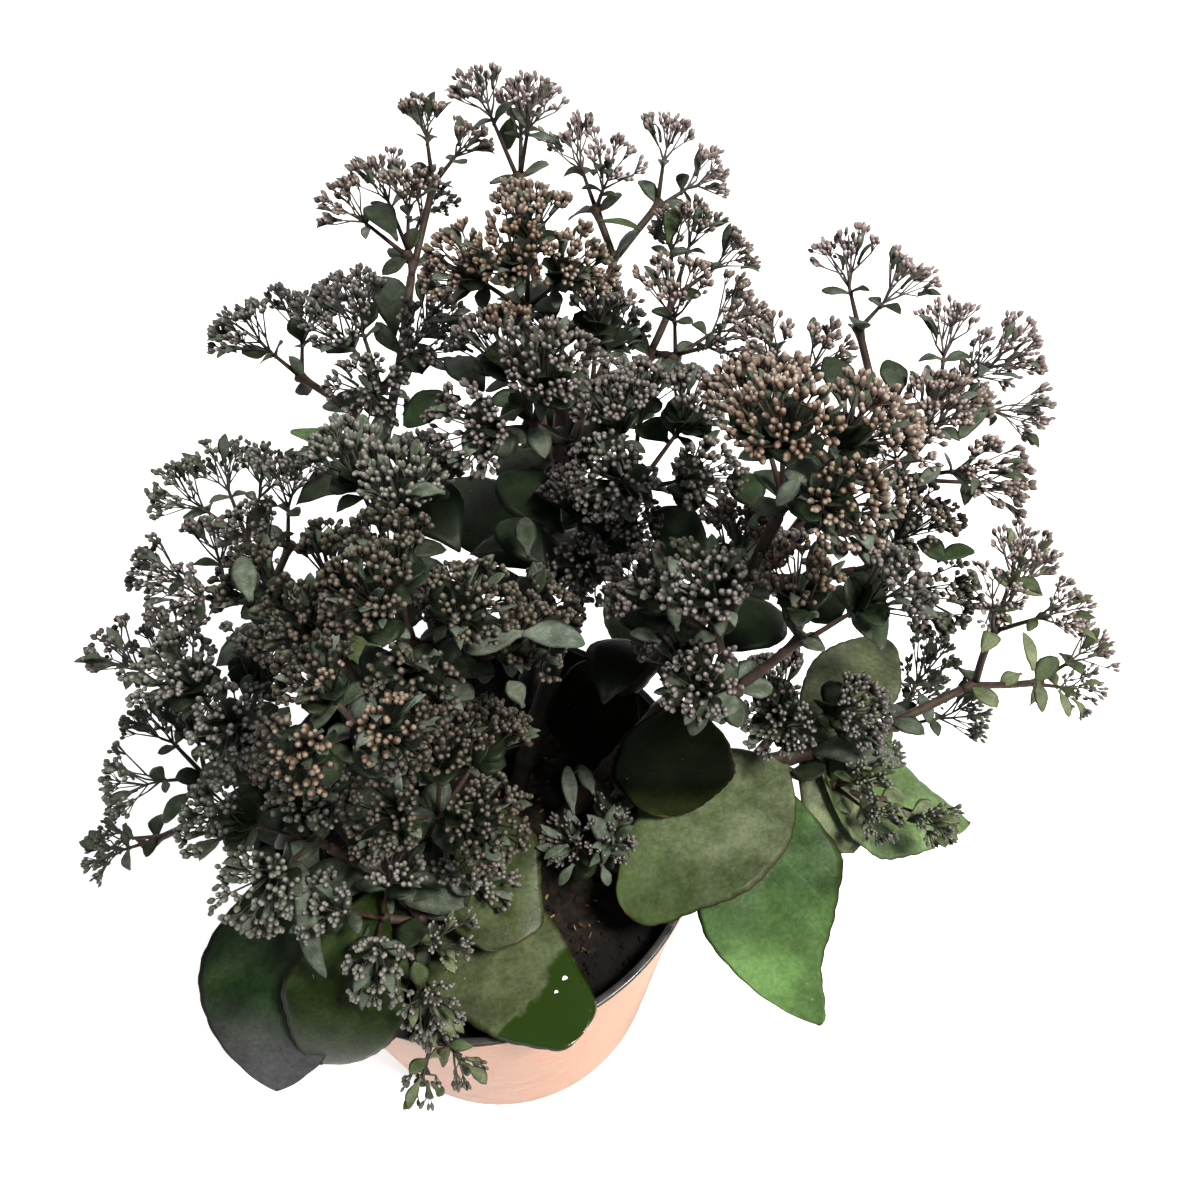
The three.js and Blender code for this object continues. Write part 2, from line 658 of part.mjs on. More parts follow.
// A spray's bracts and heads
function makeHeads(name, margin = 0) {
  const broad = sprayPlans[name].lobes.filter((lobe) => lobe.count >= bractHeads);
  const bracts = broad.map((lobe, k) => {
    const { node, entry } = knuckle(name, sprayPlans[name].lobes.indexOf(lobe));
    const angle = 2 * k + name.length;
    const flat = new THREE.Vector3(Math.cos(angle), Math.sin(angle), 0);
    const direction = flat.addScaledVector(lobe.grow, 0.3);
    const seat = node.clone().addScaledVector(entry, -knuckleLength - 0.5);
    return bract(seat, direction, bractLength + 2 * margin, bractWidth + 4 * margin, 2 + 3 * margin);
  });
  const heads = allHeads.filter((head) => head.name === name).map((head) => {
    const { node, entry } = knuckle(name, head.lobe);
    const foot = footOn(node, entry, head.centre);
    return budHead(foot, head.centre, head.radius + 1.6 * margin, neckRadius + margin);
  });
  return joined([...bracts, ...heads]);
}

// Every piece is trimmed clear of what stands in its way. Wood comes before heads, heads before leaves.

function cutClear(solid, obstacles) {
  const meets = (a, b) => [0, 1, 2].every((axis) => a.min[axis] < b.max[axis] && b.min[axis] < a.max[axis]);
  const box = solid.boundingBox();
  const near = obstacles.filter((obstacle) => meets(obstacle.boundingBox(), box));
  return near.reduce((rest, obstacle) => rest.subtract(obstacle), solid);
}

const stemsClear = [];
for (const name of Object.keys(stems)) {
  addPiece(`stem_${name}`, largestPiece(cutClear(makeStem(name), stemsClear)), wood, 0.6);
  stemsClear.push(makeStem(name, clearance));
}

const sprayNames = Object.keys(sprays);
const branchesClear = sprayNames.map((name) => makeBranches(name, clearance));
const envelope = potEnvelope();
const headsClear = [];
sprayNames.forEach((name, order) => {
  const spray = sprays[name];
  const fixed = spray.root ? stemsClear : [...stemsClear, envelope];
  const branches = cutClear(makeBranches(name), [...fixed, ...branchesClear.slice(0, order)]);
  const others = branchesClear.filter((_, other) => other !== order);
  const heads = cutClear(makeHeads(name), [...fixed, ...others, ...headsClear]);
  addPiece(`spray_${name}`, largestPiece(branches.add(heads)), spray.brown ? budBrown : budGrey, 0.75);
  headsClear.push(makeHeads(name, clearance));
});

addPiece('pot', makePot(), terracotta, 0.5);
addPiece('soil', largestPiece(cutClear(makeSoil(), [...stemsClear, ...branchesClear])), compost, 0.95);

const leavesClear = [envelope, ...stemsClear, ...branchesClear, ...headsClear];
for (const [name, leaf] of Object.entries(leaves)) {
  const tip = vector(leaf.tip);
  const axis = stemCurve(stems[leaf.stem]).getPointAt(leaf.at);
  const outwards = tip.clone().sub(axis).normalize();
  const woodRadius = THREE.MathUtils.lerp(stemRadius, hubRadius, leaf.at);
  const base = axis.addScaledVector(outwards, stemFlat * woodRadius + clearance);
  const blade = cutClear(leafBlade(base, tip, leaf, 0), leavesClear);
  addPiece(`leaf_${name}`, largestPiece(blade), leaf.colour, 0.55);
  leavesClear.push(leafBlade(base, tip, leaf, clearance));
}

export default group;
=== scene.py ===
# A potted stonecrop in bud: the finished look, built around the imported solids.
# The tables are in millimetres, in the frame's own directions, as in the part's source.
import math
import random
import bmesh
import bpy
import numpy as np
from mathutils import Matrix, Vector, noise


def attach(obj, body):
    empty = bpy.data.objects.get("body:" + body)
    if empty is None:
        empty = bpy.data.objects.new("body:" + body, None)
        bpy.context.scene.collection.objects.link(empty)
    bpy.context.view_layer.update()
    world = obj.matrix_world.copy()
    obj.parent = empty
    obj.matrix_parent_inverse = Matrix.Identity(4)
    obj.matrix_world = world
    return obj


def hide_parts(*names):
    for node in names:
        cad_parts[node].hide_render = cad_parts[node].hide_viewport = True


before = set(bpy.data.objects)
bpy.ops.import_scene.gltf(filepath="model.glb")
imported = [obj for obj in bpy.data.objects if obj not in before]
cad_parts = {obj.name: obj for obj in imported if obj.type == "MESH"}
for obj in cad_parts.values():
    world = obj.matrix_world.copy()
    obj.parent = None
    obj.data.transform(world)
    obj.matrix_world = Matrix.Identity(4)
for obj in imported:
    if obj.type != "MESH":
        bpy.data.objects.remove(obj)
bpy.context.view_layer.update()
print("frame loaded")

mm = 0.001
goldenAngle = math.pi * (3 - math.sqrt(5))
up = np.array([0.0, 0.0, 1.0])


# Camera, floor and light

shot = {
    "place": (0.052, -0.210, 0.610), "tilt": 37.0, "lens": 32.7, "sensor": 36.0, "picture": 1200,
    "near": 0.01,
    "floorSize": 6.0, "floorColour": (0.9, 0.9, 0.9, 1), "floorGlow": 0.65,
    "skyColour": (0.94, 0.97, 1.0, 1), "skyPower": 0.30, "groundPower": 0.05, "horizon": (-0.15, 0.35),
    "backdrop": 0.9, "lightAim": (0.05, 0.05, 0.2),
}
lights = {
    "key": {"place": (0.62, -0.35, 1.5), "size": 0.35, "power": 46.0, "colour": (1.0, 0.965, 0.90)},
    "fill": {"place": (-1.2, -0.5, 1.1), "size": 1.4, "power": 5.0, "colour": (0.92, 0.96, 1.0)},
    "back": {"place": (-0.6, 1.4, 0.9), "size": 1.2, "power": 8.0, "colour": (1.0, 0.98, 0.95)},
}


def addObject(name, data):
    made = bpy.data.objects.new(name, data)
    bpy.context.collection.objects.link(made)
    return made


def setCamera():
    lens = bpy.data.cameras.new("photoCamera")
    lens.lens = shot["lens"]
    lens.sensor_width = shot["sensor"]
    lens.clip_start = shot["near"]
    camera = addObject("photoCamera", lens)
    camera.location = shot["place"]
    camera.rotation_euler = (math.radians(shot["tilt"]), 0, 0)
    bpy.context.scene.camera = camera
    bpy.context.scene.view_settings.view_transform = "Standard"


def addSoftbox(name, light):
    lamp = bpy.data.lights.new(name, "AREA")
    lamp.shape = "DISK"
    lamp.size = light["size"]
    lamp.energy = light["power"]
    lamp.color = light["colour"]
    box = addObject(name, lamp)
    box.location = light["place"]
    aim = Vector(shot["lightAim"]) - Vector(light["place"])
    box.rotation_euler = aim.to_track_quat("-Z", "Y").to_euler()


def setSky():
    # Soft light from above that fades below the horizon, in front of a pale backdrop
    world = bpy.data.worlds.new("studio")
    world.use_nodes = True
    tree = world.node_tree
    sky = tree.nodes["Background"]
    sky.inputs["Color"].default_value = shot["skyColour"]
    way = addNode(tree, "ShaderNodeTexCoord").outputs["Generated"]
    height = addNode(tree, "ShaderNodeSeparateXYZ", {0: way}).outputs[2]
    power = ramp(tree, height, *shot["horizon"], shot["groundPower"], shot["skyPower"])
    looking = addNode(tree, "ShaderNodeLightPath").outputs["Is Camera Ray"]
    seen = product(tree, looking, shot["backdrop"])
    tree.links.new(doMath(tree, "MAXIMUM", power, seen), sky.inputs["Strength"])
    bpy.context.scene.world = world


# Small helpers for node trees

def addNode(tree, kind, inputs=None, **settings):
    made = tree.nodes.new(kind)
    for name, value in settings.items():
        setattr(made, name, value)
    for key, value in (inputs or {}).items():
        if isinstance(value, bpy.types.NodeSocket):
            tree.links.new(value, made.inputs[key])
        else:
            made.inputs[key].default_value = value
    return made


def mixColour(tree, factor, first, second, blend="MIX"):
    sockets = {0: factor, 6: first, 7: second}
    return addNode(tree, "ShaderNodeMix", sockets, data_type="RGBA", blend_type=blend).outputs[2]


def doMath(tree, operation, first, second=0.0, clamp=False):
    made = addNode(tree, "ShaderNodeMath", {0: first, 1: second}, operation=operation, use_clamp=clamp)
    return made.outputs[0]


def product(tree, first, second, clamp=False):
    return doMath(tree, "MULTIPLY", first, second, clamp)


def ramp(tree, value, low, high, start=0.0, end=1.0):
    made = addNode(tree, "ShaderNodeMapRange", {0: value, 1: low, 2: high, 3: start, 4: end})
    made.interpolation_type = "SMOOTHSTEP"
    return made.outputs[0]


def cloud(tree, place, scale, detail, rough=0.5, twist=0.0):
    sockets = {"Vector": place, "Scale": scale, "Detail": detail, "Roughness": rough, "Distortion": twist}
    return addNode(tree, "ShaderNodeTexNoise", sockets).outputs[0]


def multiplyColour(tree, colour, tone):
    grey = addNode(tree, "ShaderNodeCombineColor", {0: tone, 1: tone, 2: tone}).outputs[0]
    return mixColour(tree, 1.0, colour, grey, "MULTIPLY")


def readAttribute(tree, name):
    return addNode(tree, "ShaderNodeAttribute", attribute_name=name).outputs["Fac"]


def objectPlace(tree):
    return addNode(tree, "ShaderNodeTexCoord").outputs["Object"]


def distanceFromAxis(tree, place):
    split = addNode(tree, "ShaderNodeSeparateXYZ", {0: place}).outputs
    flat = addNode(tree, "ShaderNodeCombineXYZ", {0: split[0], 1: split[1]}).outputs[0]
    return addNode(tree, "ShaderNodeVectorMath", {0: flat}, operation="LENGTH").outputs["Value"]


def newGroup(name, inputs, outputs):
    # Inputs and outputs are given as "name kind"; inputs may carry a value
    kinds = {"colour": "NodeSocketColor", "value": "NodeSocketFloat", "vector": "NodeSocketVector"}
    tree = bpy.data.node_groups.new(name, "ShaderNodeTree")
    for words, value in inputs.items():
        label, kind = words.split()
        socket = tree.interface.new_socket(label, in_out="INPUT", socket_type=kinds[kind])
        if value is not None:
            socket.default_value = value
    for words in outputs:
        label, kind = words.split()
        tree.interface.new_socket(label, in_out="OUTPUT", socket_type=kinds[kind])
    return tree, tree.nodes.new("NodeGroupInput").outputs, tree.nodes.new("NodeGroupOutput").inputs


def useEffect(tree, name, inputs):
    return addNode(tree, "ShaderNodeGroup", inputs, node_tree=effects[name]).outputs


# Effects that several materials share

def makeMottleGroup():
    # Soft blotches between two colours, with a fine speckle over them
    tree, taken, given = newGroup(
        "mottle",
        {"Place vector": None, "Scale value": 60.0, "Amount value": 0.5, "Colour colour": None,
         "Blotch colour": None},
        ["Colour colour", "Mask value", "Fine value"])
    broad = cloud(tree, taken["Place"], taken["Scale"], 3.0, 0.55)
    fine = cloud(tree, taken["Place"], product(tree, taken["Scale"], 9.0), 4.0, 0.6)
    mask = ramp(tree, broad, 0.38, 0.66)
    blotched = mixColour(tree, product(tree, mask, taken["Amount"]), taken["Colour"], taken["Blotch"])
    speckled = multiplyColour(tree, blotched, ramp(tree, fine, 0.2, 0.8, 0.86, 1.14))
    tree.links.new(speckled, given["Colour"])
    tree.links.new(mask, given["Mask"])
    tree.links.new(fine, given["Fine"])
    return tree


def makeWaxGroup():
    # The pale waxy powder that lies on stonecrop skin in worn patches
    tree, taken, given = newGroup(
        "waxBloom",
        {"Place vector": None, "Scale value": 90.0, "Cover value": 0.4, "Colour colour": None,
         "Wax colour": None},
        ["Colour colour", "Dull value"])
    patch = ramp(tree, cloud(tree, taken["Place"], taken["Scale"], 6.0, 0.7, 0.4), 0.35, 0.7)
    dull = product(tree, patch, taken["Cover"], True)
    tree.links.new(mixColour(tree, dull, taken["Colour"], taken["Wax"]), given["Colour"])
    tree.links.new(dull, given["Dull"])
    return tree


def makeVeinGroup():
    # A midrib and faint side veins, from how far along and across a blade a point lies
    tree, taken, given = newGroup(
        "veins", {"Along value": 0.0, "Across value": 0.0, "Count value": 7.0}, ["Rib value", "Side value"])
    out = doMath(tree, "ABSOLUTE", taken["Across"])
    narrow = doMath(tree, "ADD", product(tree, taken["Along"], -0.03), 0.05)
    rib = addNode(tree, "ShaderNodeMapRange", {0: out, 1: 0.0, 2: narrow, 3: 1.0, 4: 0.0}).outputs[0]
    slant = doMath(tree, "SUBTRACT", taken["Along"], product(tree, out, 0.28))
    wave = doMath(tree, "SINE", product(tree, product(tree, slant, taken["Count"]), 2 * math.pi))
    tree.links.new(rib, given["Rib"])
    tree.links.new(ramp(tree, wave, 0.93, 1.0), given["Side"])
    return tree


# The middle of the plant where shade is painted, in metres: out from the axis, up from the foot, and back
# from the front
shadedMiddle = {"out": (0.055, 0.115), "up": (0.28, 0.36), "back": (-0.012, 0.012)}


def makeInnerShadeGroup():
    # How much painted shade a place gets for lying deep inside the plant: low down between the stems, wood
    # and small leaves are painted darker
    tree, taken, given = newGroup("depth", {"Place vector": None}, ["Depth value"])
    split = addNode(tree, "ShaderNodeSeparateXYZ", {0: taken["Place"]}).outputs
    inner = ramp(tree, distanceFromAxis(tree, taken["Place"]), *shadedMiddle["out"], 1.0, 0.0)
    low = ramp(tree, split[2], *shadedMiddle["up"], 1.0, 0.0)
    clear = ramp(tree, split[1], *shadedMiddle["back"])
    tree.links.new(product(tree, product(tree, inner, low), clear), given["Depth"])
    return tree


def makeAgedGroup():
    # Uneven darkening of an older leaf: broad cloudy patches with a fine grain over them
    tree, taken, given = newGroup(
        "aged", {"Place vector": None, "Scale value": 34.0, "Grain value": 0.5, "Colour colour": None},
        ["Colour colour"])
    patch = ramp(tree, cloud(tree, taken["Place"], taken["Scale"], 6.0, 0.68), 0.34, 0.66, 0.62, 1.26)
    tone = product(tree, patch, ramp(tree, taken["Grain"], 0.3, 0.7, 0.86, 1.14))
    tree.links.new(multiplyColour(tree, taken["Colour"], tone), given["Colour"])
    return tree


# The sizes that several pieces share: the pot, the stems, the sprays of bud heads and the large leaves

pot = {
    "height": 178, "rim": 95, "foot": 79, "wall": 2, "lipHeight": 7, "lipProud": 2, "sides": 120,
    "holes": 6, "holeRadius": 5, "holeRing": 0.78, "drill": (-4.0, 0.0, 6.0), "soilLevel": 162,
    "soilRise": 5, "curve": 6, "wallRings": 24, "lipRound": 1.0, "footRound": 1.5, "smoothBelow": 50,
}
stems = {
    "top": {"root": [12, 30], "lean": [26, 74, 222], "hub": [36, 140, 288]},
    "back_left": {"root": [-10, 34], "lean": [-22, 76, 215], "hub": [-46, 134, 268]},
    "left_back": {"root": [-30, 24], "lean": [-52, 50, 195], "hub": [-90, 82, 218]},
    "left": {"root": [-38, -2], "lean": [-62, 4, 192], "hub": [-104, 6, 200]},
    "front_left": {"root": [-14, 2], "lean": [-14, -2, 215], "hub": [-16, -8, 290]},
    "front": {"root": [-24, -26], "lean": [-32, -34, 190], "hub": [-34, -42, 216]},
    "centre": {"root": [14, 6], "lean": [30, 36, 225], "hub": [48, 66, 280]},
    "right": {"root": [34, -2], "lean": [60, 2, 225], "hub": [88, 4, 288]},
    "right_back": {"root": [34, 24], "lean": [78, 52, 222], "hub": [136, 86, 262]},
    "right_low": {"root": [50, 8], "lean": [86, 10, 190], "hub": [142, 16, 203]},
}
sprays = {
    "shoot": {"root": [50, -22], "lobes": [[[53, -21, 212], 3, 14, 10]]},
    "top": {"stem": "top", "lobes": [[[15, 215, 385], 3, 17, 12]]},
    "top_right": {"stem": "top", "lobes": [[[50, 228, 355], 2, 10, 14], [[88, 236, 350], 2, 12, 12]]},
    "side_right": {"stem": "top", "lobes": [[[98, 190, 337], 3, 19, 11], [[104, 152, 326], 3, 22, 15]]},
    "crown": {"stem": "top", "look": "brown", "lobes": [[[20, 126, 379], 4, 20, 14]]},
    "back_left": {
        "stem": "back_left",
        "lobes": [[[-38, 236, 332], 4, 25, 13], [[-20, 262, 347], 2, 12, 11]],
    },
    "inner_left": {
        "stem": "back_left",
        "lobes": [[[-38, 137, 332], 5, 29, 15], [[-96, 174, 304], 2, 17, 15]],
    },
    "far_left": {"stem": "left_back", "lobes": [[[-127, 141, 244], 3, 22, 15]]},
    "mid_left": {"stem": "left_back", "lobes": [[[-79, 90, 282], 2, 15, 15], [[-131, 84, 246], 3, 23, 14]]},
    "outer_left": {"stem": "left", "lobes": [[[-155, 74, 206], 3, 24, 15]]},
    "high_left": {"stem": "left", "lobes": [[[-84, 0, 277], 3, 21, 15]]},
    "low_left": {"stem": "left", "lobes": [[[-142, 20, 204], 3, 22, 14], [[-182, 10, 132], 2, 12, 11]]},
    "dome_back": {"stem": "front_left", "lobes": [[[-22, 52, 342], 3, 20, 15]]},
    "dome_left": {
        "stem": "front_left", "look": "brown",
        "lobes": [[[-44, -4, 342], 3, 19, 14], [[-19, -60, 356], 3, 14, 12]],
    },
    "dome_right": {"stem": "front_left", "lobes": [[[-3, -12, 352], 4, 23, 14], [[26, 2, 322], 3, 20, 13]]},
    "front_side": {"stem": "front", "lobes": [[[-66, -34, 264], 4, 26, 15]]},
    "front_top": {"stem": "front", "lobes": [[[5, -27, 271], 4, 25, 15]]},
    "front_low": {
        "stem": "front", "fork": [-16, -56, 200],
        "lobes": [[[-28, -68, 228], 3, 21, 13], [[2, -42, 218], 3, 16, 11]],
    },
    "front_rim": {
        "stem": "front",
        "lobes": [[[-10, -86, 204], 3, 17, 11], [[-8, -110, 175], 2, 9, 9, [0, -0.6, -0.5]]],
    },
    "centre_back": {"stem": "centre", "lobes": [[[50, 142, 334], 3, 23, 13], [[22, 71, 370], 3, 19, 15]]},
    "centre": {"stem": "centre", "lobes": [[[52, 60, 306], 3, 18, 12], [[74, 72, 341], 5, 27, 14]]},
    "peak": {"stem": "right", "look": "brown", "lobes": [[[112, 12, 400], 4, 20, 14]]},
    "right_front": {
        "stem": "right", "fork": [98, -14, 300],
        "lobes": [[[90, 7, 340], 3, 19, 14], [[80, -14, 312], 2, 14, 13], [[127, -6, 346], 2, 14, 14]],
    },
    "right_back": {
        "stem": "right_back",
        "lobes": [[[163, 169, 339], 2, 14, 14], [[217, 153, 307], 4, 25, 14]],
    },
    "right_top": {
        "stem": "right_back",
        "lobes": [[[184, 86, 325], 5, 31, 14], [[124, 124, 336], 2, 14, 12]],
    },
    "right_mid": {"stem": "right_back", "lobes": [[[169, 43, 306], 3, 20, 15]]},
    "far_right": {"stem": "right_low", "lobes": [[[232, 64, 263], 4, 24, 13], [[280, 76, 187], 2, 12, 12]]},
    "low_right": {"stem": "right_low", "lobes": [[[214, 66, 182], 3, 21, 14]]},
    "low_front": {
        "stem": "right_low",
        "lobes": [[[165, -6, 212], 3, 17, 10], [[190, -14, 206], 2, 14, 10]],
    },
    "near_right": {"stem": "right_low", "fork": [130, 27, 212], "lobes": [[[134, 20, 238], 3, 21, 15]]},
}
leaves = {
    "front_left_outer": {
        "stem": "left", "at": 0.62, "tip": [-76, -106, 150], "width": 60,
        "arch": 22, "fold": 0.12, "look": "dark", "belly": 1.6, "blunt": 0.2,
    },
    "front_left_inner": {
        "stem": "front", "at": 0.84, "tip": [-47, -100, 158], "width": 48,
        "arch": 20, "fold": 0.16, "look": "dark", "belly": 1.1, "blunt": 0.4, "hook": -10,
    },
    "front_left_blade": {
        "stem": "left", "at": 0.7, "tip": [-55, -78, 199], "width": 10,
        "arch": 4, "fold": 0.3, "look": "olive", "blunt": 0.1,
    },
    "front_middle": {
        "stem": "front_left", "at": 0.4, "tip": [20, -64, 198], "width": 50,
        "arch": 2, "fold": 0.12, "look": "olive", "blunt": 0.7,
    },
    "front_wet": {
        "stem": "front", "at": 0.6, "tip": [46, -93, 183], "width": 50,
        "arch": 1, "fold": 0.08, "look": "olive", "blunt": 0.65,
    },
    "rim_right": {
        "stem": "right_low", "at": 0.93, "tip": [62, -50, 192], "width": 58,
        "arch": 6, "fold": 0.1, "look": "olive",
    },
    "low_right": {
        "stem": "right_low", "at": 0.84, "tip": [118, -80, 150], "width": 60,
        "arch": 9, "fold": 0.14, "look": "bright", "blunt": 0.3, "hook": 23,
    },
    "side_right": {
        "stem": "right_low", "at": 0.99, "tip": [220, 8, 153], "width": 60,
        "arch": -13, "fold": 0.14, "look": "bright", "belly": 0.72, "blunt": 0.3,
    },
    "shade_right": {
        "stem": "right", "at": 0.88, "tip": [80, -15, 207], "width": 46,
        "arch": 4, "fold": 0.1, "look": "dark",
    },
    "back_right": {
        "stem": "right_low", "at": 0.97, "tip": [183, 73, 204], "width": 38,
        "arch": 5, "fold": 0.15, "look": "olive",
    },
    "shade_middle": {
        "stem": "right", "at": 0.42, "tip": [50, 62, 204], "width": 40,
        "arch": 5, "fold": 0.1, "look": "dark",
    },
    "shade_far": {
        "stem": "right_back", "at": 0.68, "tip": [60, 76, 226], "width": 28,
        "arch": 4, "fold": 0.1, "look": "dark",
    },
    "top_right": {
        "stem": "top", "at": 0.82, "tip": [54, 172, 266], "width": 40,
        "arch": 5, "fold": 0.12, "look": "dark",
    },
    "top_left": {
        "stem": "top", "at": 0.62, "tip": [-24, 148, 226], "width": 46,
        "arch": 5, "fold": 0.12, "look": "dark",
    },
    "top_low": {
        "stem": "top", "at": 0.58, "tip": [54, 140, 226], "width": 44,
        "arch": 5, "fold": 0.12, "look": "dark",
    },
    "left_blade": {
        "stem": "back_left", "at": 0.93, "tip": [-88, 148, 262], "width": 12,
        "arch": 4, "fold": 0.3, "look": "bright",
    },
    "back": {
        "stem": "right_back", "at": 0.5, "tip": [84, 128, 182], "width": 46,
        "arch": 8, "fold": 0.14, "look": "olive",
    },
    "back_far_left": {
        "stem": "left_back", "at": 0.6, "tip": [-86, 120, 182], "width": 48,
        "arch": 8, "fold": 0.14, "look": "olive",
    },
}


# Curves and directions, all in millimetres

def unit(vector):
    return vector / np.linalg.norm(vector)


def unitRows(rows):
    return rows / np.linalg.norm(rows, axis=1, keepdims=True)


def distance(first, second):
    return float(np.linalg.norm(np.asarray(second) - np.asarray(first)))


def turnTo(direction):
    # The shortest turn from straight up to a direction
    cross = np.cross(up, direction)
    skew = np.array([[0, -cross[2], cross[1]], [cross[2], 0, -cross[0]], [-cross[1], cross[0], 0]])
    return np.eye(3) + skew + skew @ skew / (1 + direction[2])


def lineAt(points, part):
    # A point of the smooth line through some points
    points = [np.asarray(point, float) for point in points]
    last = len(points) - 1
    segment = min(int(part * last), last - 1)
    weight = part * last - segment
    second, third = points[segment], points[segment + 1]
    first = points[segment - 1] if segment > 0 else 2 * second - third
    fourth = points[segment + 2] if segment + 2 <= last else 2 * third - second
    gap = [max(distance(a, b), 1e-3) ** 0.5 for a, b in ((first, second), (second, third), (third, fourth))]
    leave = (second - first) / gap[0] - (third - first) / (gap[0] + gap[1]) + (third - second) / gap[1]
    arrive = (third - second) / gap[1] - (fourth - second) / (gap[1] + gap[2]) + (fourth - third) / gap[2]
    leave, arrive = leave * gap[1], arrive * gap[1]
    square = 3 * (third - second) - 2 * leave - arrive
    cube = 2 * (second - third) + leave + arrive
    return second + leave * weight + square * weight ** 2 + cube * weight ** 3


def densePoints(points, steps=200):
    return np.array([lineAt(points, step / steps) for step in range(steps + 1)])


def evenLine(points, count):
    # Evenly spaced points of the smooth line
    dense = densePoints(points)
    run = np.concatenate([[0], np.cumsum(np.linalg.norm(np.diff(dense, axis=0), axis=1))])
    wanted = np.linspace(0, run[-1], count)
    return np.stack([np.interp(wanted, run, dense[:, axis]) for axis in range(3)], axis=1)


def alongLine(points, part, steps=1000):
    return evenLine(points, steps + 1)[round(part * steps)]


def lineLength(points):
    return float(np.linalg.norm(np.diff(densePoints(points), axis=0), axis=1).sum())


def around(angle, height, reach=1.0):
    # The point at an angle round the upright axis
    return np.array([reach * math.cos(angle), reach * math.sin(angle), height])


# What a mesh is gathered in: points, faces, their finish, and three numbers that the finishes read

class Heap:
    def __init__(self):
        self.points = []
        self.faces = []
        self.slots = []
        self.marks = {"along": [], "across": [], "tint": []}
        self.count = 0

    def add(self, points, faces, slot, along=0.0, across=0.0, tint=0.5):
        points = np.asarray(points, float).reshape(-1, 3)
        self.points.append(points)
        for name, value in (("along", along), ("across", across), ("tint", tint)):
            self.marks[name].append(np.broadcast_to(np.asarray(value, float), len(points)))
        for group in faces:
            group = np.asarray(group, int)
            if len(group):
                self.faces.extend((group + self.count).tolist())
                self.slots.extend([slot] * len(group))
        self.count += len(points)


def makePiece(name, heap, finishes, cadNode, smooth=True):
    mesh = bpy.data.meshes.new(name)
    mesh.from_pydata((np.concatenate(heap.points) * mm).tolist(), [], heap.faces)
    mesh.polygons.foreach_set("material_index", heap.slots)
    mesh.polygons.foreach_set("use_smooth", [smooth] * len(heap.faces))
    for label, values in heap.marks.items():
        mesh.attributes.new(label, "FLOAT", "POINT").data.foreach_set("value", np.concatenate(values))
    for finish in finishes:
        mesh.materials.append(finish)
    mesh.update()
    piece = addObject(name, mesh)
    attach(piece, "root")
    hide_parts(cadNode)
    return piece


def framesFor(directions):
    # A side and a face for each of many directions
    steep = np.abs(directions[:, 2:3]) > 0.9
    helper = np.where(steep, np.array([[1.0, 0.0, 0.0]]), np.array([[0.0, 0.0, 1.0]]))
    side = unitRows(np.cross(helper, directions))
    return side, np.cross(directions, side)


def roundPoints(ways, sides):
    # A circle of points round each of many directions
    side, face = framesFor(ways)
    angles = 2 * math.pi * np.arange(sides) / sides
    return np.cos(angles)[None, :, None] * side[:, None] + np.sin(angles)[None, :, None] * face[:, None]


def ringFaces(rings, sides, start=0):
    # The skin between rings of points
    corner = np.arange(sides)
    after = (corner + 1) % sides
    strip = np.stack([corner, after, sides + after, sides + corner], axis=1)
    return np.concatenate([start + ring * sides + strip for ring in range(rings - 1)])


def fanFaces(tip, start, sides, forwards):
    # Triangles that close a ring with one more point
    corner = start + np.arange(sides)
    after = start + (np.arange(sides) + 1) % sides
    return np.stack([np.full(sides, tip), *((corner, after) if forwards else (after, corner))], axis=1)


def addTube(heap, line, radii, sides, slot, tint=0.5):
    # A closed round limb; its frame is carried along so that it never twists
    line = np.asarray(line, float)
    radii = np.asarray(radii, float)
    tangents = unitRows(np.gradient(line, axis=0))
    side = framesFor(tangents[:1])[0][0]
    angles = 2 * math.pi * np.arange(sides) / sides
    points = []
    for centre, tangent, radius in zip(line, tangents, radii):
        side = unit(side - tangent * side.dot(tangent))
        face = np.cross(tangent, side)
        points.append(centre + radius * (np.outer(np.cos(angles), side) + np.outer(np.sin(angles), face)))
    points.append(np.stack([line[0], line[-1]]))
    foot = len(line) * sides
    caps = np.concatenate([fanFaces(foot, 0, sides, False), fanFaces(foot + 1, foot - sides, sides, True)])
    along = np.concatenate([np.repeat(np.linspace(0, 1, len(line)), sides), [0, 1]])
    heap.add(np.concatenate(points), [ringFaces(len(line), sides), caps], slot, along, 0.0, tint)


def addSticks(heap, starts, ends, startRadius, endRadius, sides, slot, tint=0.5, marks=(0.0, 1.0)):
    # Many thin straight stalks at once, open at both ends because both are buried
    ways = unitRows(ends - starts)
    ring = roundPoints(ways, sides)
    points = np.concatenate([starts[:, None] + startRadius * ring, ends[:, None] + endRadius * ring], axis=1)
    offsets = np.arange(len(starts)) * 2 * sides
    faces = (offsets[:, None, None] + ringFaces(2, sides)[None]).reshape(-1, 4)
    along = np.tile(np.repeat(marks, sides), len(starts))
    heap.add(points, [faces], slot, along, 0.0, tint)


# The buds: rings as (height, radius) in shares of a bud's length and radius, which each shape gives
bud = {
    "sides": 6, "rings": [(0.03, 0.42), (0.40, 1.0), (0.80, 0.70)], "spread": 0.16,
    "round": {"radius": 1.14, "length": 2.6}, "long": {"radius": 1.04, "length": 3.4},
    "club": {"radius": 0.88, "length": 3.1},
}


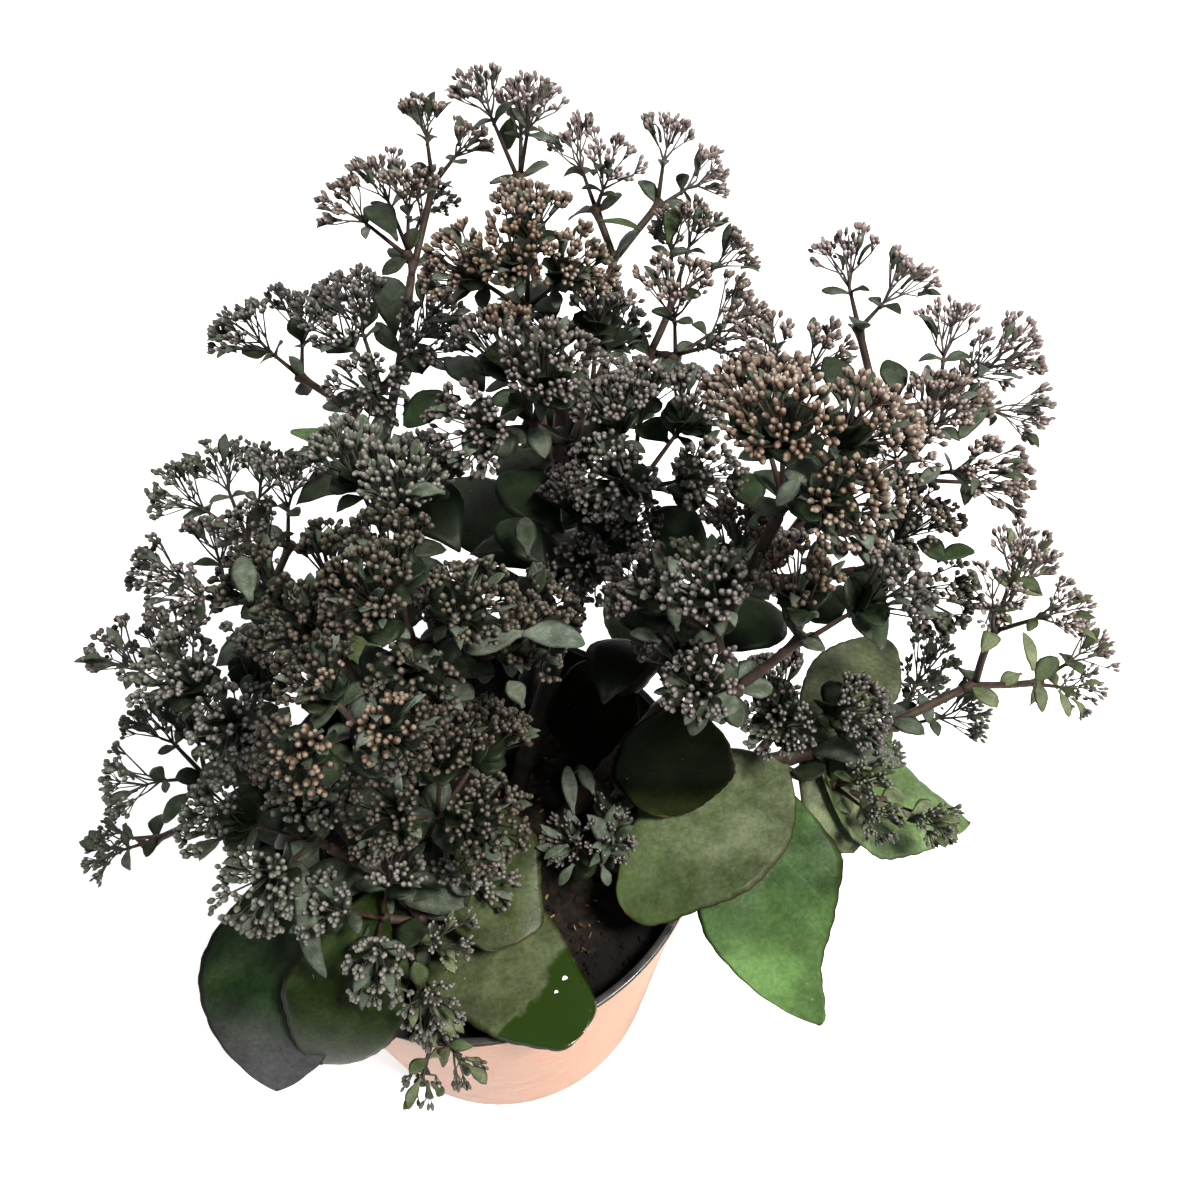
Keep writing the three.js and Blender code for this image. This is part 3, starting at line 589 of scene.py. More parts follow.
def addBuds(heap, feet, ways, sizes, tints, shape, slot):
    # Many buds at once: rings from the calyx up, then a point; each is open where its stalk enters it
    sides, rings = bud["sides"], len(bud["rings"])
    ring = roundPoints(ways, sides)
    size = sizes[:, None, None]
    rows = []
    for height, radius in bud["rings"]:
        rows.append(feet[:, None] + size * (height * shape["length"] * ways[:, None]
                                            + radius * shape["radius"] * ring))
    rows.append(feet[:, None] + size * shape["length"] * ways[:, None])
    points = np.concatenate(rows, axis=1)
    each = rings * sides + 1
    offsets = (np.arange(len(feet)) * each)[:, None, None]
    quads = (offsets + ringFaces(rings, sides)[None]).reshape(-1, 4)
    fans = (offsets + fanFaces(each - 1, (rings - 1) * sides, sides, True)[None]).reshape(-1, 3)
    heights = np.concatenate([np.repeat([height for height, _ in bud["rings"]], sides), [1.0]])
    heap.add(points, [quads, fans], slot, np.tile(heights, len(feet)), 0.0, np.repeat(tints, each))


def addLeaf(heap, base, tip, shape, slot, tint=0.5):
    # One thick leaf as a closed shell. Its sections run over the top from edge to edge and back below.
    stations = shape["stations"]
    length = distance(base, tip)
    along = (tip - base) / length
    side = np.cross(up, along)
    side = unit(side) if np.linalg.norm(side) > 0.05 else np.array([1.0, 0.0, 0.0])
    face = np.cross(along, side)
    back = shape["rooted"] / length
    spots = -back + (1 + back) * (1 - (1 - np.linspace(0, 1, stations + 1)) ** 1.3)
    across = np.linspace(-1, 1, shape["columns"] + 1)
    loop = [(v, 1) for v in across] + [(v, -1) for v in across[-2:0:-1]]
    points, alongs, acrosses = [], [], []
    for s in spots:
        inside = min(max(s, 0.0), 1.0)
        power = shape["slim"] - shape["blunt"] * inside
        half = shape["width"] / 2 * math.sin(math.pi * inside ** shape["belly"]) ** power
        half *= 1 + shape["ragged"] * noise.noise(Vector((3.2 * inside, 7 * tint, 0.5)))
        half = max(half, shape["stalk"] * (1 - inside ** 6) + 0.15)
        tooth = shape["tooth"] * (abs(math.sin(math.pi * shape["teeth"] * inside)) - 0.6)
        thick = shape["thickness"] * (1.25 - 0.75 * inside)
        hook = shape["hook"] * max(0.0, (inside - 0.6) / 0.4) ** 2
        curl = -shape["curl"] * max(0.0, (inside - 0.55) / 0.45) ** 2
        for v, facing in loop:
            uneven = 1 + shape["ragged"] * noise.noise(Vector((4.5 * inside, 5 * tint, 3.0 * np.sign(v))))
            reach = v * half * uneven + tooth * np.sign(v) * abs(v) ** 8 * min(1, half / 6)
            height = shape["arch"] * 4 * s * (1 - s) + shape["fold"] * abs(reach) * (1 - s * 0.6)
            height += shape["wave"] * math.sin(shape["waves"] * inside + 2.0 * v + 9 * tint) * v * v
            rib = math.exp(-(reach / shape["ribWidth"]) ** 2) * shape["rib"] * (1 - inside)
            height += facing * thick / 2 * (1 - 0.8 * v ** 4) * (1 if abs(v) < 1 else 0.0)
            height -= rib if facing > 0 else 1.6 * rib
            points.append(base + along * s * length + side * (reach + hook) + face * (height + curl))
            alongs.append(inside)
            acrosses.append(v)
    ring = len(loop)
    points.append(base - along * back * length)
    points.append(np.mean(points[stations * ring:(stations + 1) * ring], axis=0))
    low = (stations + 1) * ring
    caps = np.concatenate([fanFaces(low, 0, ring, True), fanFaces(low + 1, low - ring, ring, False)])
    quads = ringFaces(stations + 1, ring)[:, ::-1]
    heap.add(points, [quads, caps], slot, alongs + [0, 1], acrosses + [0, 0], tint)


# Where the wood and the heads go, by the same rules as the solids

plant = {
    "rootDepth": 24, "collar": 6, "stemRadius": 4.6, "hubRadius": 3.1, "twigRadius": 2.0,
    "branchRadius": 1.7, "neckRadius": 0.9, "knuckleRadius": 3.6, "knuckleLength": 3,
    "stalkLength": 8, "seatGap": 0.6, "neckOffset": 1.5, "neckSink": 0.6, "headDrop": 27, "headSink": 0.4,
    "forkDrop": 6, "forkBack": 0.12, "upright": 0.7, "domeRise": 5, "lobeDrop": 17, "spreadDrop": 0.35,
    "twigTop": 0.97, "twigStep": 0.06, "bow": 0.06, "sag": 0.04, "woodStep": 8, "headMargin": 2,
    "crowdMargin": 15, "passes": 40, "rest": 0.3, "branchSides": 9, "capRadii": (2.9, 2.2, 0.9),
}


def stemPoints(stem):
    x, y = stem["root"]
    level = pot["soilLevel"]
    return [(x, y, level - plant["rootDepth"]), (x, y, level + plant["collar"]), stem["lean"], stem["hub"]]


def laySpray(spray):
    hub = [*spray["root"], pot["soilLevel"]] if "root" in spray else stems[spray["stem"]]["hub"]
    hub = np.array(hub, float)
    tops = [np.array(lobe[0], float) for lobe in spray["lobes"]]
    away = unit(unit(sum(tops) / len(tops) - hub) + plant["upright"] * up)
    middles = [top - plant["headSink"] * lobe[3] * away for top, lobe in zip(tops, spray["lobes"])]
    centre = sum(middles) / len(middles)
    single = len(middles) == 1
    if single:
        fork = centre - away * plant["headDrop"]
    else:
        fork = centre - away * (plant["headDrop"] + plant["forkDrop"])
        fork = fork + plant["forkBack"] * (hub - fork)
    fork = np.array(spray.get("fork", fork), float)
    lobes = []
    for middle, (_, count, spread, radius, *given) in zip(middles, spray["lobes"]):
        grow = away if single else unit(unit(middle - fork) + away)
        if given:
            grow = unit(np.array(given[0], float))
        node = fork if single else middle - grow * (plant["lobeDrop"] + plant["spreadDrop"] * spread)
        lobes.append({"node": node, "grow": grow, "middle": middle,
                      "count": count, "spread": spread, "radius": radius})
    return {"fork": fork, "away": away, "lobes": lobes}


def layHeads(name, lobes):
    # Heads fill their lobe's dome from its middle outwards, a golden angle apart
    heads = []
    for k, lobe in enumerate(lobes):
        turn = turnTo(lobe["grow"])
        for i in range(lobe["count"]):
            part = math.sqrt((i + 0.5) / lobe["count"])
            rise = plant["domeRise"] * (1 - 2 * part * part)
            offset = around(i * goldenAngle + k + len(name), rise, lobe["spread"] * part)
            heads.append({"name": name, "lobe": k, "radius": lobe["radius"],
                          "centre": turn @ offset + lobe["middle"]})
    return heads


def footOn(node, entry, target):
    outward = target - node
    outward = outward - entry * outward.dot(entry)
    return node + plant["neckOffset"] * unit(outward) - plant["neckSink"] * entry


def twigPoints(name):
    spray = sprays[name]
    fork = plans[name]["fork"]
    if "root" in spray:
        foot = np.array([*spray["root"], pot["soilLevel"] - plant["rootDepth"]], float)
        return [foot, foot + 0.6 * (fork - foot), fork]
    siblings = [other for other in sprays if sprays[other].get("stem") == spray["stem"]]
    part = plant["twigTop"] - plant["twigStep"] * siblings.index(name)
    start = alongLine(stemPoints(stems[spray["stem"]]), part)
    bow = (start + fork) / 2
    bow[2] -= plant["bow"] * distance(start, fork)
    return [start, bow, fork + plant["stalkLength"] * unit(bow - fork)]


def woodRoutes(name):
    plan = plans[name]
    if "root" in sprays[name]:
        return [twigPoints(name)]
    _, bow, end = twigPoints(name)
    fork = plan["fork"]
    seat = end + plant["seatGap"] * unit(end - bow)
    routes = [[seat, fork]]
    if plan["lobes"][0]["node"] is fork:
        return routes
    for lobe in plan["lobes"]:
        foot = footOn(fork, unit(fork - seat), lobe["node"])
        sag = -plant["sag"] * distance(fork, lobe["node"])
        routes.append([foot, (fork + lobe["node"]) / 2 + plan["away"] * sag, lobe["node"]])
    return routes


def knuckle(name, lobe):
    routes = woodRoutes(name)
    points = routes[0 if len(routes) == 1 else lobe + 1]
    return points[-1], unit(points[-1] - points[-2])


def samples(name, points):
    steps = math.ceil(lineLength(points) / plant["woodStep"])
    return [(name, lineAt(points, step / steps)) for step in range(steps + 1)]


def spaceOut(heads, wood):
    # Heads that crowd each other, or another spray's wood, move apart
    centres = np.array([head["centre"] for head in heads])
    radii = np.array([head["radius"] for head in heads], float)
    names = [head["name"] for head in heads]
    woodNames = [name for name, _ in wood]
    woodPlaces = np.array([place for _, place in wood])
    margin = plant["crowdMargin"]
    for _ in range(plant["passes"]):
        for i in range(len(heads)):
            reach = np.linalg.norm(centres[i + 1:] - centres[i], axis=1)
            for j in i + 1 + np.flatnonzero(reach < radii[i] + radii[i + 1:] + margin):
                gap = centres[j] - centres[i]
                wanted = radii[i] + radii[j] + (0 if names[i] == names[j] else 1)
                size = np.linalg.norm(gap)
                if size < wanted:
                    shift = gap / size * (wanted - size) / 2
                    centres[i] -= shift
                    centres[j] += shift
            clear = radii[i] + plant["headMargin"]
            reach = np.linalg.norm(woodPlaces - centres[i], axis=1)
            for k in np.flatnonzero(reach < clear + margin):
                gap = centres[i] - woodPlaces[k]
                size = np.linalg.norm(gap)
                if woodNames[k] != names[i] and size < clear:
                    centres[i] += gap / size * (clear - size) / 2
    for head, centre in zip(heads, centres):
        head["centre"] = centre


plans = {name: laySpray(spray) for name, spray in sprays.items()}
allHeads = [head for name in sprays for head in layHeads(name, plans[name]["lobes"])]
woodPlaces = [place for stem in stems.values() for place in samples(None, stemPoints(stem))]
for sprayName in sprays:
    for route in [twigPoints(sprayName)] + woodRoutes(sprayName):
        woodPlaces += samples(sprayName, route)
spaceOut(allHeads, woodPlaces)
print("heads laid out:", len(allHeads))


# Bud heads: a neck that splits into rays, each with small umbels of buds that close up into a dome

head = {
    "wide": 1.26, "flat": 0.86, "lift": 0.10, "domeReach": 1.2, "reachSpread": (0.88, 1.1), "upright": 0.7,
    "splits": 5, "splitReach": 0.75, "splitRise": 0.42, "neckDrop": 0.8, "neckSwell": 0.25, "neckEnd": 0.75,
    "rayRadius": 0.42, "pedicelRadius": 0.22, "lumpy": 0.30, "packing": 0.87, "tints": (0.15, 0.85),
    "umbelReach": 0.9, "umbelJitter": 0.12, "bowlReach": 1.15, "bowlLength": (0.75, 1.0), "buried": 0.3,
    "splitMarks": (0.05, 0.14), "rayMarks": (0.10, 0.24), "pedicelMarks": (0.18, 0.42),
    "dense": {"umbelGap": 7.8, "budGap": 3.05, "pedicel": 2.6, "gather": 0.16, "jitter": 0.08, "uneven": 3.2,
              "lost": 0.07, "leaflets": 8, "leafletLength": (7, 12), "bowl": 7, "whorl": (5, 4)},
    "loose": {"umbelGap": 9.2, "budGap": 3.25, "pedicel": 3.8, "gather": 0.27, "jitter": 0.10, "uneven": 4.4,
              "lost": 0.16, "leaflets": 5, "leafletLength": (8, 13), "bowl": 1, "whorl": (3, 2)},
    "open": {"umbelGap": 10.2, "budGap": 3.4, "pedicel": 4.8, "gather": 0.32, "jitter": 0.12, "uneven": 5.5,
             "lost": 0.24, "leaflets": 4, "leafletLength": (8, 13), "bowl": 0, "whorl": (2, 2)},
    "leafy": {"umbelGap": 8.0, "budGap": 3.3, "pedicel": 4.0, "gather": 0.40, "jitter": 0.12, "uneven": 4.0,
              "lost": 0.20, "leaflets": 9, "leafletLength": (12, 19), "bowl": 0, "whorl": (3, 2)},
}
freshSprays = ["far_right", "low_front", "front_rim"]

# How each spray's heads are built and coloured, where they differ from the rest; a number is one lobe
dress = {
    "usual": ("dense", "round", "dusk"), "dome_left": ("dense", "round", "dark"),
    "crown": ("dense", "long", "fawn"), "peak": ("dense", "long", "fawn"),
    "top": ("open", "club", "pale"), "top_right": ("open", "club", "pale"),
    "side_right": ("open", "long", "tan"), "back_left": ("open", "long", "tan"),
    "inner_left": ("loose", "long", "grey"), "centre_back": ("dense", "long", "grey"),
    "dome_back": ("dense", "long", "ash"), "right_front": ("dense", "round", "grey"),
    "centre": ("dense", "round", "grey"), "right_back": ("open", "club", "pale"),
    "right_top": ("open", "long", "tan"), "right_mid": ("loose", "round", "dusk"),
    "far_right": ("open", "club", "pale"), "low_right": ("open", "club", "green"),
    "low_front": ("open", "club", "green"), "near_right": ("dense", "long", "grey"),
    "shoot": ("leafy", "club", "grey"), "front_rim": ("open", "club", "ash"),
    "front_low": ("loose", "round", "ash"), "outer_left": ("open", "round", "grey"),
    "far_left": ("open", "round", "green"), "mid_left": ("open", "round", "grey"),
    "low_left": ("open", "round", "green"), "low_left 1": ("open", "club", "green"),
    "high_left": ("dense", "round", "ash"), "front_side": ("dense", "round", "green"),
}

# Where the sun has browned the buds: the middle of each patch, how far it reaches, and its finish
browned = [
    ((24, 97, 388), 20, "brown"), ((98, -10, 412), 17, "brown"), ((117, -7, 402), 15, "brown"),
    ((96, 25, 342), 13, "umber"), ((117, -3, 350), 15, "umber"),
    ((-12, -60, 366), 17, "brown"), ((-22, -73, 362), 12, "brown"),
]


def dressOf(name, lobe):
    return dress.get(f"{name} {lobe}", dress.get(name, dress["usual"]))


def coloursAt(tops, usual):
    names = np.full(len(tops), usual, dtype=object)
    for place, reach, colour in browned:
        names[np.linalg.norm(tops - np.array(place), axis=1) < reach] = colour
    return names


def spiral(count, reach, start):
    # Directions that fill a dome around straight up, a golden angle apart
    steps = np.arange(count)
    polar = reach * np.sqrt((steps + 0.5) / count)
    angle = steps * goldenAngle + start
    return np.stack([np.sin(polar) * np.cos(angle), np.sin(polar) * np.sin(angle), np.cos(polar)], axis=1)


def randomRows(count, rng):
    return np.array([[rng.uniform(-1, 1) for _ in range(3)] for _ in range(count)])


def lumps(ways, shift):
    # How far the uneven dome reaches in each direction, as a share of its radius
    return np.array([[1 + head["lumpy"] * noise.noise(Vector(1.6 * way + shift))] for way in ways])


def anyAngle(rng):
    return rng.uniform(0, 6.28)


def addHead(heap, foot, centre, radius, dressed, used, firstBud, rng):
    style, shape, colour = head[dressed[0]], bud[dressed[1]], dressed[2]
    axis = unit(centre - foot)
    turn = turnTo(axis)
    size = min(1.0, 0.6 + 0.029 * radius)
    tint = rng.uniform(*head["tints"])
    shift = np.array([rng.uniform(0, 50), 0.0, 0.0])
    squat = np.array([head["wide"], head["wide"], head["flat"]]) * radius
    reach = head["domeReach"] * rng.uniform(*head["reachSpread"])
    junction = centre - axis * head["neckDrop"] * radius
    middle = centre + axis * head["lift"] * radius
    if colour not in used:
        used.append(colour)
    stalk = (firstBud + used.index(colour), tint)
    ray, pedicel = head["rayRadius"], head["pedicelRadius"]

    # The neck and the rays that split from it
    addTube(heap, evenLine([foot, (foot + junction) / 2, junction], 4),
            np.linspace(plant["neckRadius"] + head["neckSwell"], head["neckEnd"], 4), 6, 0)
    splitWays = spiral(head["splits"], head["splitReach"], anyAngle(rng))
    splits = junction + (splitWays * radius * head["splitRise"]) @ turn.T
    starts = np.repeat(junction[None], head["splits"], axis=0) - head["buried"] * axis
    addSticks(heap, starts, splits, ray * 1.4, ray * 1.1, 5, *stalk, head["splitMarks"])

    # The rays to the foot of each umbel
    area = 2 * math.pi * (1 - math.cos(reach)) * radius ** 2 * head["wide"] ** 1.3
    umbels = max(4, round(area / style["umbelGap"] ** 2 / head["packing"]))
    umbelWays = spiral(umbels, reach * head["umbelReach"], anyAngle(rng))
    umbelWays = unitRows(umbelWays + head["umbelJitter"] * randomRows(umbels, rng))
    upright = unitRows(umbelWays + np.array([0, 0, head["upright"]])) @ turn.T
    drop = style["pedicel"] * size + shape["length"] * size * 0.8
    drops = drop + style["uneven"] * np.array([[rng.random() ** 2] for _ in range(umbels)])
    bases = middle + (umbelWays * squat * lumps(umbelWays, shift)) @ turn.T - upright * drops
    nearest = np.argmin(np.linalg.norm(splits[None] - bases[:, None], axis=2), axis=1)
    addSticks(heap, splits[nearest], bases, ray, ray * 0.75, 4, *stalk, head["rayMarks"])

    # The buds, gathered towards their umbels, each on its own stalk
    buds = max(6, round(area / (style["budGap"] * size) ** 2 / head["packing"]))
    ways = spiral(buds, reach, anyAngle(rng))
    ways = unitRows(ways + style["jitter"] * randomRows(buds, rng))
    ways = ways[np.array([rng.random() > style["lost"] for _ in range(buds)])]
    owner = np.argmax(ways @ umbelWays.T, axis=1)
    ways = unitRows(ways * (1 - style["gather"]) + umbelWays[owner] * style["gather"])
    sunk = drops[owner] - drop + np.array([[rng.uniform(-0.5, 0.5)] for _ in ways])
    tops = middle + (ways * squat * lumps(ways, shift)) @ turn.T - upright[owner] * sunk
    fan = unitRows(unitRows(tops - bases[owner]) + 0.25 * upright[owner])
    sizes = np.array([size * rng.uniform(1 - bud["spread"], 1 + bud["spread"]) for _ in ways])
    feet = tops - fan * (shape["length"] * sizes)[:, None]
    ends = feet + head["buried"] * fan
    addSticks(heap, bases[owner], ends, pedicel * 1.3, pedicel, 3, *stalk, head["pedicelMarks"])
    tints = np.array([min(1, max(0, tint + rng.uniform(-0.3, 0.3))) for _ in ways])
    names = coloursAt(tops, colour)
    for name in sorted(set(names)):
        if name not in used:
            used.append(name)
        own = names == name
        addBuds(heap, feet[own], fan[own], sizes[own], tints[own], shape, firstBud + used.index(name))

    # Small leaves: a bowl of shaded ones under the dome and a few that stand between the buds
    for way in spiral(style["bowl"], head["bowlReach"], anyAngle(rng)) @ turn.T:
        length = radius * rng.uniform(*head["bowlLength"])
        addSpoonLeaf(heap, junction, way, length, 0.85, 1, rng, spoonLeaf["shadedTints"])
    for _ in range(style["leaflets"]):
        angle = anyAngle(rng)
        polar = reach * math.sqrt(rng.uniform(0.15, 1.0))
        local = around(angle, math.cos(polar), math.sin(polar))
        length = rng.uniform(*style["leafletLength"]) * size
        way = turn @ unit(local + np.array([0, 0, 0.35]))
        seat = middle + turn @ (local * squat) - way * (length + rng.uniform(-1.5, 2.5))
        addSpoonLeaf(heap, seat, way, length, rng.uniform(0.34, 0.5), 1, rng, spoonLeaf["openTints"])


spoonLeaf = {
    "stations": 7, "columns": 4, "slim": 0.85, "stalk": 0.6, "tooth": 0.0, "teeth": 1, "wave": 0.3,
    "waves": 4.0, "ribWidth": 1.0, "rib": 0.12, "rooted": 1.0, "ragged": 0.1,
    "widthSpread": (0.85, 1.15), "archSpread": (0.0, 0.12), "curlSpread": (-0.08, 0.25),
    "hookSpread": (-0.12, 0.12), "bellySpread": (1.05, 1.25), "foldSpread": (0.1, 0.4),
    "tints": (0.2, 1.0), "shadedTints": (0.0, 0.12), "openTints": (0.45, 1.0),
    "headLength": (8, 13), "knuckleLength": (10, 16), "forkLength": (13, 20), "twigLength": (14, 22),
}


def addSpoonLeaf(heap, seat, way, length, slimness, slot, rng, tints=spoonLeaf["tints"]):
    # Rounder leaves are widest beyond the middle and blunt; slim ones come to a point
    plump = (slimness - 0.3) / 0.5
    shape = dict(spoonLeaf)
    shape["width"] = length * slimness * rng.uniform(*shape["widthSpread"])
    shape["arch"] = length * rng.uniform(*shape["archSpread"])
    shape["curl"] = length * rng.uniform(*shape["curlSpread"])
    shape["hook"] = length * rng.uniform(*shape["hookSpread"])
    shape["belly"] = rng.uniform(*shape["bellySpread"]) + 0.3 * plump
    shape["blunt"] = 0.1 + 0.35 * plump
    shape["fold"] = rng.uniform(*shape["foldSpread"])
    shape["thickness"] = 0.6 + length * 0.025
    addLeaf(heap, seat, seat + unit(way) * length, shape, slot, rng.uniform(*tints))


def addWhorl(heap, node, entry, count, lengths, slimness, rng, rise=(0.1, 0.7)):
    # Leaves that stand round a knuckle, some way below it
    turn = turnTo(entry)
    start = rng.uniform(0, 2 * math.pi)
    for leaf in range(count):
        angle = start + 2 * math.pi * leaf / count + rng.uniform(-0.35, 0.35)
        way = turn @ around(angle, rng.uniform(*rise))
        seat = node - entry * rng.uniform(1.5, 3.5)
        addSpoonLeaf(heap, seat, way, rng.uniform(*lengths), slimness, 1, rng)


# Single leaves among the heads that stand out in the photo, or that close the view down between the stems.
# Each has its base and tip as (across, down, height): the first two in the photo's own twelve-hundredths
# from its top left corner, the height in millimetres; then width, finish and tone.
singleLeaves = {
    "dome_right": [
        ((520, 634, 346), (466, 652, 342), 10.5, "sage", 0.95),
        ((524, 634, 346), (586, 642, 342), 10.5, "sage", 0.85),
        ((522, 704, 334), (510, 680, 336), 6.5, "sage", 1.0),
        ((528, 554, 318), (524, 516, 320), 8.0, "sage", 0.6),
        ((458, 548, 298), (402, 474, 300), 24, "shade", 0.5),
        ((562, 532, 288), (498, 474, 300), 24, "shade", 0.7),
        ((545, 566, 300), (500, 520, 304), 18, "shade", 0.9),
        ((604, 700, 268), (626, 636, 266), 24, "shade", 0.0),
    ],
    "dome_left": [
        ((250, 598, 352), (240, 555, 354), 7.5, "sage", 0.8),
    ],
    "dome_back": [
        ((442, 492, 352), (402, 493, 350), 6.5, "sage", 0.9),
    ],
    "centre": [
        ((672, 539, 346), (708, 567, 344), 8.0, "fresh", 0.3),
        ((704, 562, 286), (650, 512, 300), 24, "shade", 0.4),
        ((672, 541, 300), (640, 614, 270), 17, "shade", 1.0),
        ((757, 508, 325), (733, 472, 328), 14, "shade", 0.9),
        ((668, 442, 322), (638, 424, 322), 14, "shade", 0.9),
    ],
    "right_front": [
        ((680, 583, 348), (671, 555, 350), 5.5, "sage", 0.95),
        ((672, 600, 342), (663, 571, 344), 5.0, "sage", 0.85),
        ((677, 628, 336), (670, 598, 340), 4.5, "sage", 0.8),
        ((658, 641, 322), (630, 631, 322), 5.5, "sage", 0.9),
        ((706, 700, 310), (691, 736, 302), 7.0, "sage", 0.75),
        ((846, 600, 315), (888, 644, 300), 18, "shade", 0.9),
        ((850, 600, 315), (806, 614, 310), 16, "shade", 0.6),
        ((704, 650, 288), (786, 612, 284), 26, "shade", 0.2),
    ],
    "top": [
        ((513, 116, 362), (506, 149, 352), 8.0, "fresh", 0.1),
    ],
    "top_right": [
        ((600, 221, 336), (642, 229, 334), 4.6, "fresh", 0.35),
    ],
    "side_right": [
        ((668, 241, 336), (674, 206, 338), 6.5, "fresh", 0.25),
    ],
    "far_right": [
        ((1038, 683, 186), (1042, 712, 182), 6.5, "fresh", 0.65),
        ((1033, 668, 194), (1024, 631, 198), 6.2, "fresh", 1.0),
        ((1020, 674, 190), (1000, 684, 190), 7.0, "fresh", 0.8),
        ((1060, 692, 182), (1069, 717, 178), 5.0, "fresh", 0.9),
    ],
    "low_right": [
        ((918, 691, 184), (931, 723, 180), 7.0, "sage", 0.9),
    ],
    "peak": [
        ((800, 478, 388), (778, 506, 384), 5.5, "sage", 0.8),
        ((800, 480, 388), (827, 499, 384), 4.5, "sage", 0.9),
    ],
    "right_top": [
        ((919, 418, 322), (892, 433, 320), 6.5, "sage", 0.4),
        ((941, 466, 318), (919, 486, 316), 5.5, "sage", 0.8),
        ((842, 404, 330), (831, 354, 335), 13, "sage", 0.3),
        ((897, 396, 326), (888, 358, 330), 11, "sage", 0.35),
    ],
    "right_back": [
        ((986, 400, 316), (960, 437, 312), 8.5, "sage", 0.6),
    ],
    "front_rim": [
        ((434, 1044, 182), (431, 1003, 184), 6.5, "fresh", 0.95),
    ],
    "low_left": [
        ((191, 793, 208), (162, 823, 202), 8.0, "sage", 0.5),
    ],
    "centre_back": [
        ((602, 291, 346), (583, 265, 348), 8.0, "fresh", 0.0),
        ((500, 426, 344), (524, 401, 344), 7.0, "fresh", 0.4),
        ((479, 424, 342), (462, 448, 340), 4.8, "sage", 0.75),
        ((458, 398, 330), (402, 424, 325), 18, "shade", 1.0),
        ((482, 388, 334), (446, 357, 336), 14, "sage", 0.35),
    ],
    "inner_left": [
        ((456, 321, 338), (424, 323, 336), 6.8, "sage", 0.5),
        ((395, 332, 318), (386, 272, 320), 15, "sage", 0.3),
    ],
    "right_mid": [
        ((940, 560, 286), (974, 548, 286), 8, "shade", 0.9),
        ((946, 562, 286), (918, 540, 290), 10, "shade", 0.8),
    ],
    "back_left": [
        ((396, 238, 322), (368, 203, 325), 14, "sage", 0.3),
    ],
    "low_front": [
        ((802, 742, 196), (858, 852, 176), 34, "fresh", 1.0),
    ],
    "front_low": [
        ((299, 866, 242), (319, 982, 214), 8.0, "sage", 1.0),
    ],
    "shoot": [
        ((573, 812, 218), (566, 765, 222), 6.5, "sage", 0.95),
        ((593, 792, 219), (579, 765, 220), 6.5, "sage", 0.7),
        ((613, 794, 216), (638, 779, 216), 6.5, "sage", 0.9),
        ((566, 846, 212), (543, 858, 210), 4.0, "sage", 0.9),
        ((572, 866, 208), (559, 886, 204), 4.5, "sage", 0.95),
        ((602, 866, 208), (609, 886, 204), 4.5, "sage", 0.8),
        ((613, 838, 212), (619, 858, 208), 4.0, "sage", 0.6),
    ],
}


def fromPhoto(spot):
    # The place at a given height that the camera sees at a given spot of the picture
    across, down, height = spot
    tilt = math.radians(shot["tilt"])
    eye = np.array(shot["place"]) / mm
    reach = shot["picture"] * shot["lens"] / shot["sensor"]
    middle = shot["picture"] / 2
    way = np.array([0, math.sin(tilt), -math.cos(tilt)])
    way = way + np.array([1.0, 0, 0]) * (across - middle) / reach
    way = way + np.array([0, math.cos(tilt), math.sin(tilt)]) * (middle - down) / reach
    return eye + way * (height - eye[2]) / way[2]


def addSingleLeaves(heap, name, looks, rng):
    for base, tip, width, look, tone in singleLeaves.get(name, []):
        start, end = fromPhoto(base), fromPhoto(tip)
        length = distance(start, end)
        shape = dict(spoonLeaf, stations=10, columns=6, width=width, belly=rng.uniform(0.85, 1.2),
                     blunt=0.3, fold=rng.uniform(0.1, 0.3), arch=0.08 * length, curl=0.06 * length,
                     hook=length * rng.uniform(-0.06, 0.06), thickness=0.8 + 0.02 * length)
        addLeaf(heap, start, end, shape, 1 + looks.index(look), tone)


def makeBloom(name):
    heap = Heap()
    rng = random.Random("bloom " + name)
    plan = plans[name]
    routes = woodRoutes(name)
    looks = ["fresh"] if name in freshSprays else ["sage"]
    looks += sorted({look for _, _, _, look, _ in singleLeaves.get(name, [])} - set(looks))
    used = []
    whorl = head[dressOf(name, 0)[0]]["whorl"]
    for route in routes:
        line = evenLine(route, max(4, round(lineLength(route) / 3)))
        left = np.linalg.norm(line - line[-1], axis=1)
        swell = plant["knuckleRadius"] - plant["branchRadius"]
        flare = np.exp(-(left / plant["knuckleLength"]) ** 2) * swell
        sides = plant["branchSides"]
        addTube(heap, line, plant["branchRadius"] + flare * 0.75, sides, 0, rng.uniform(0.3, 0.7))
        cap = unit(line[-1] - line[-2])
        addTube(heap, [line[-1] + rise * cap for rise in (-0.4, 0.5, 1.0)], plant["capRadii"], sides, 0)
    entry = unit(plan["fork"] - routes[0][-2])
    addWhorl(heap, plan["fork"], entry, whorl[0], spoonLeaf["forkLength"], 0.62, rng)
    if len(routes) > 1:
        for k in range(len(plan["lobes"])):
            addWhorl(heap, *knuckle(name, k), whorl[1], spoonLeaf["knuckleLength"], 0.6, rng)
    for one in [one for one in allHeads if one["name"] == name]:
        centre, radius = one["centre"], one["radius"]
        foot = footOn(*knuckle(name, one["lobe"]), centre)
        addHead(heap, foot, centre, radius, dressOf(name, one["lobe"]), used, 1 + len(looks), rng)
        axis = unit(centre - foot)
        addWhorl(heap, centre - axis * radius * 0.8, axis, 2, spoonLeaf["headLength"], 0.5, rng, (0.0, 0.5))
    addSingleLeaves(heap, name, looks, rng)
    finishes = [bark] + [spoonFinishes[look] for look in looks] + [budFinishes[colour] for colour in used]
    makePiece("bloom_" + name, heap, finishes, "spray_" + name)


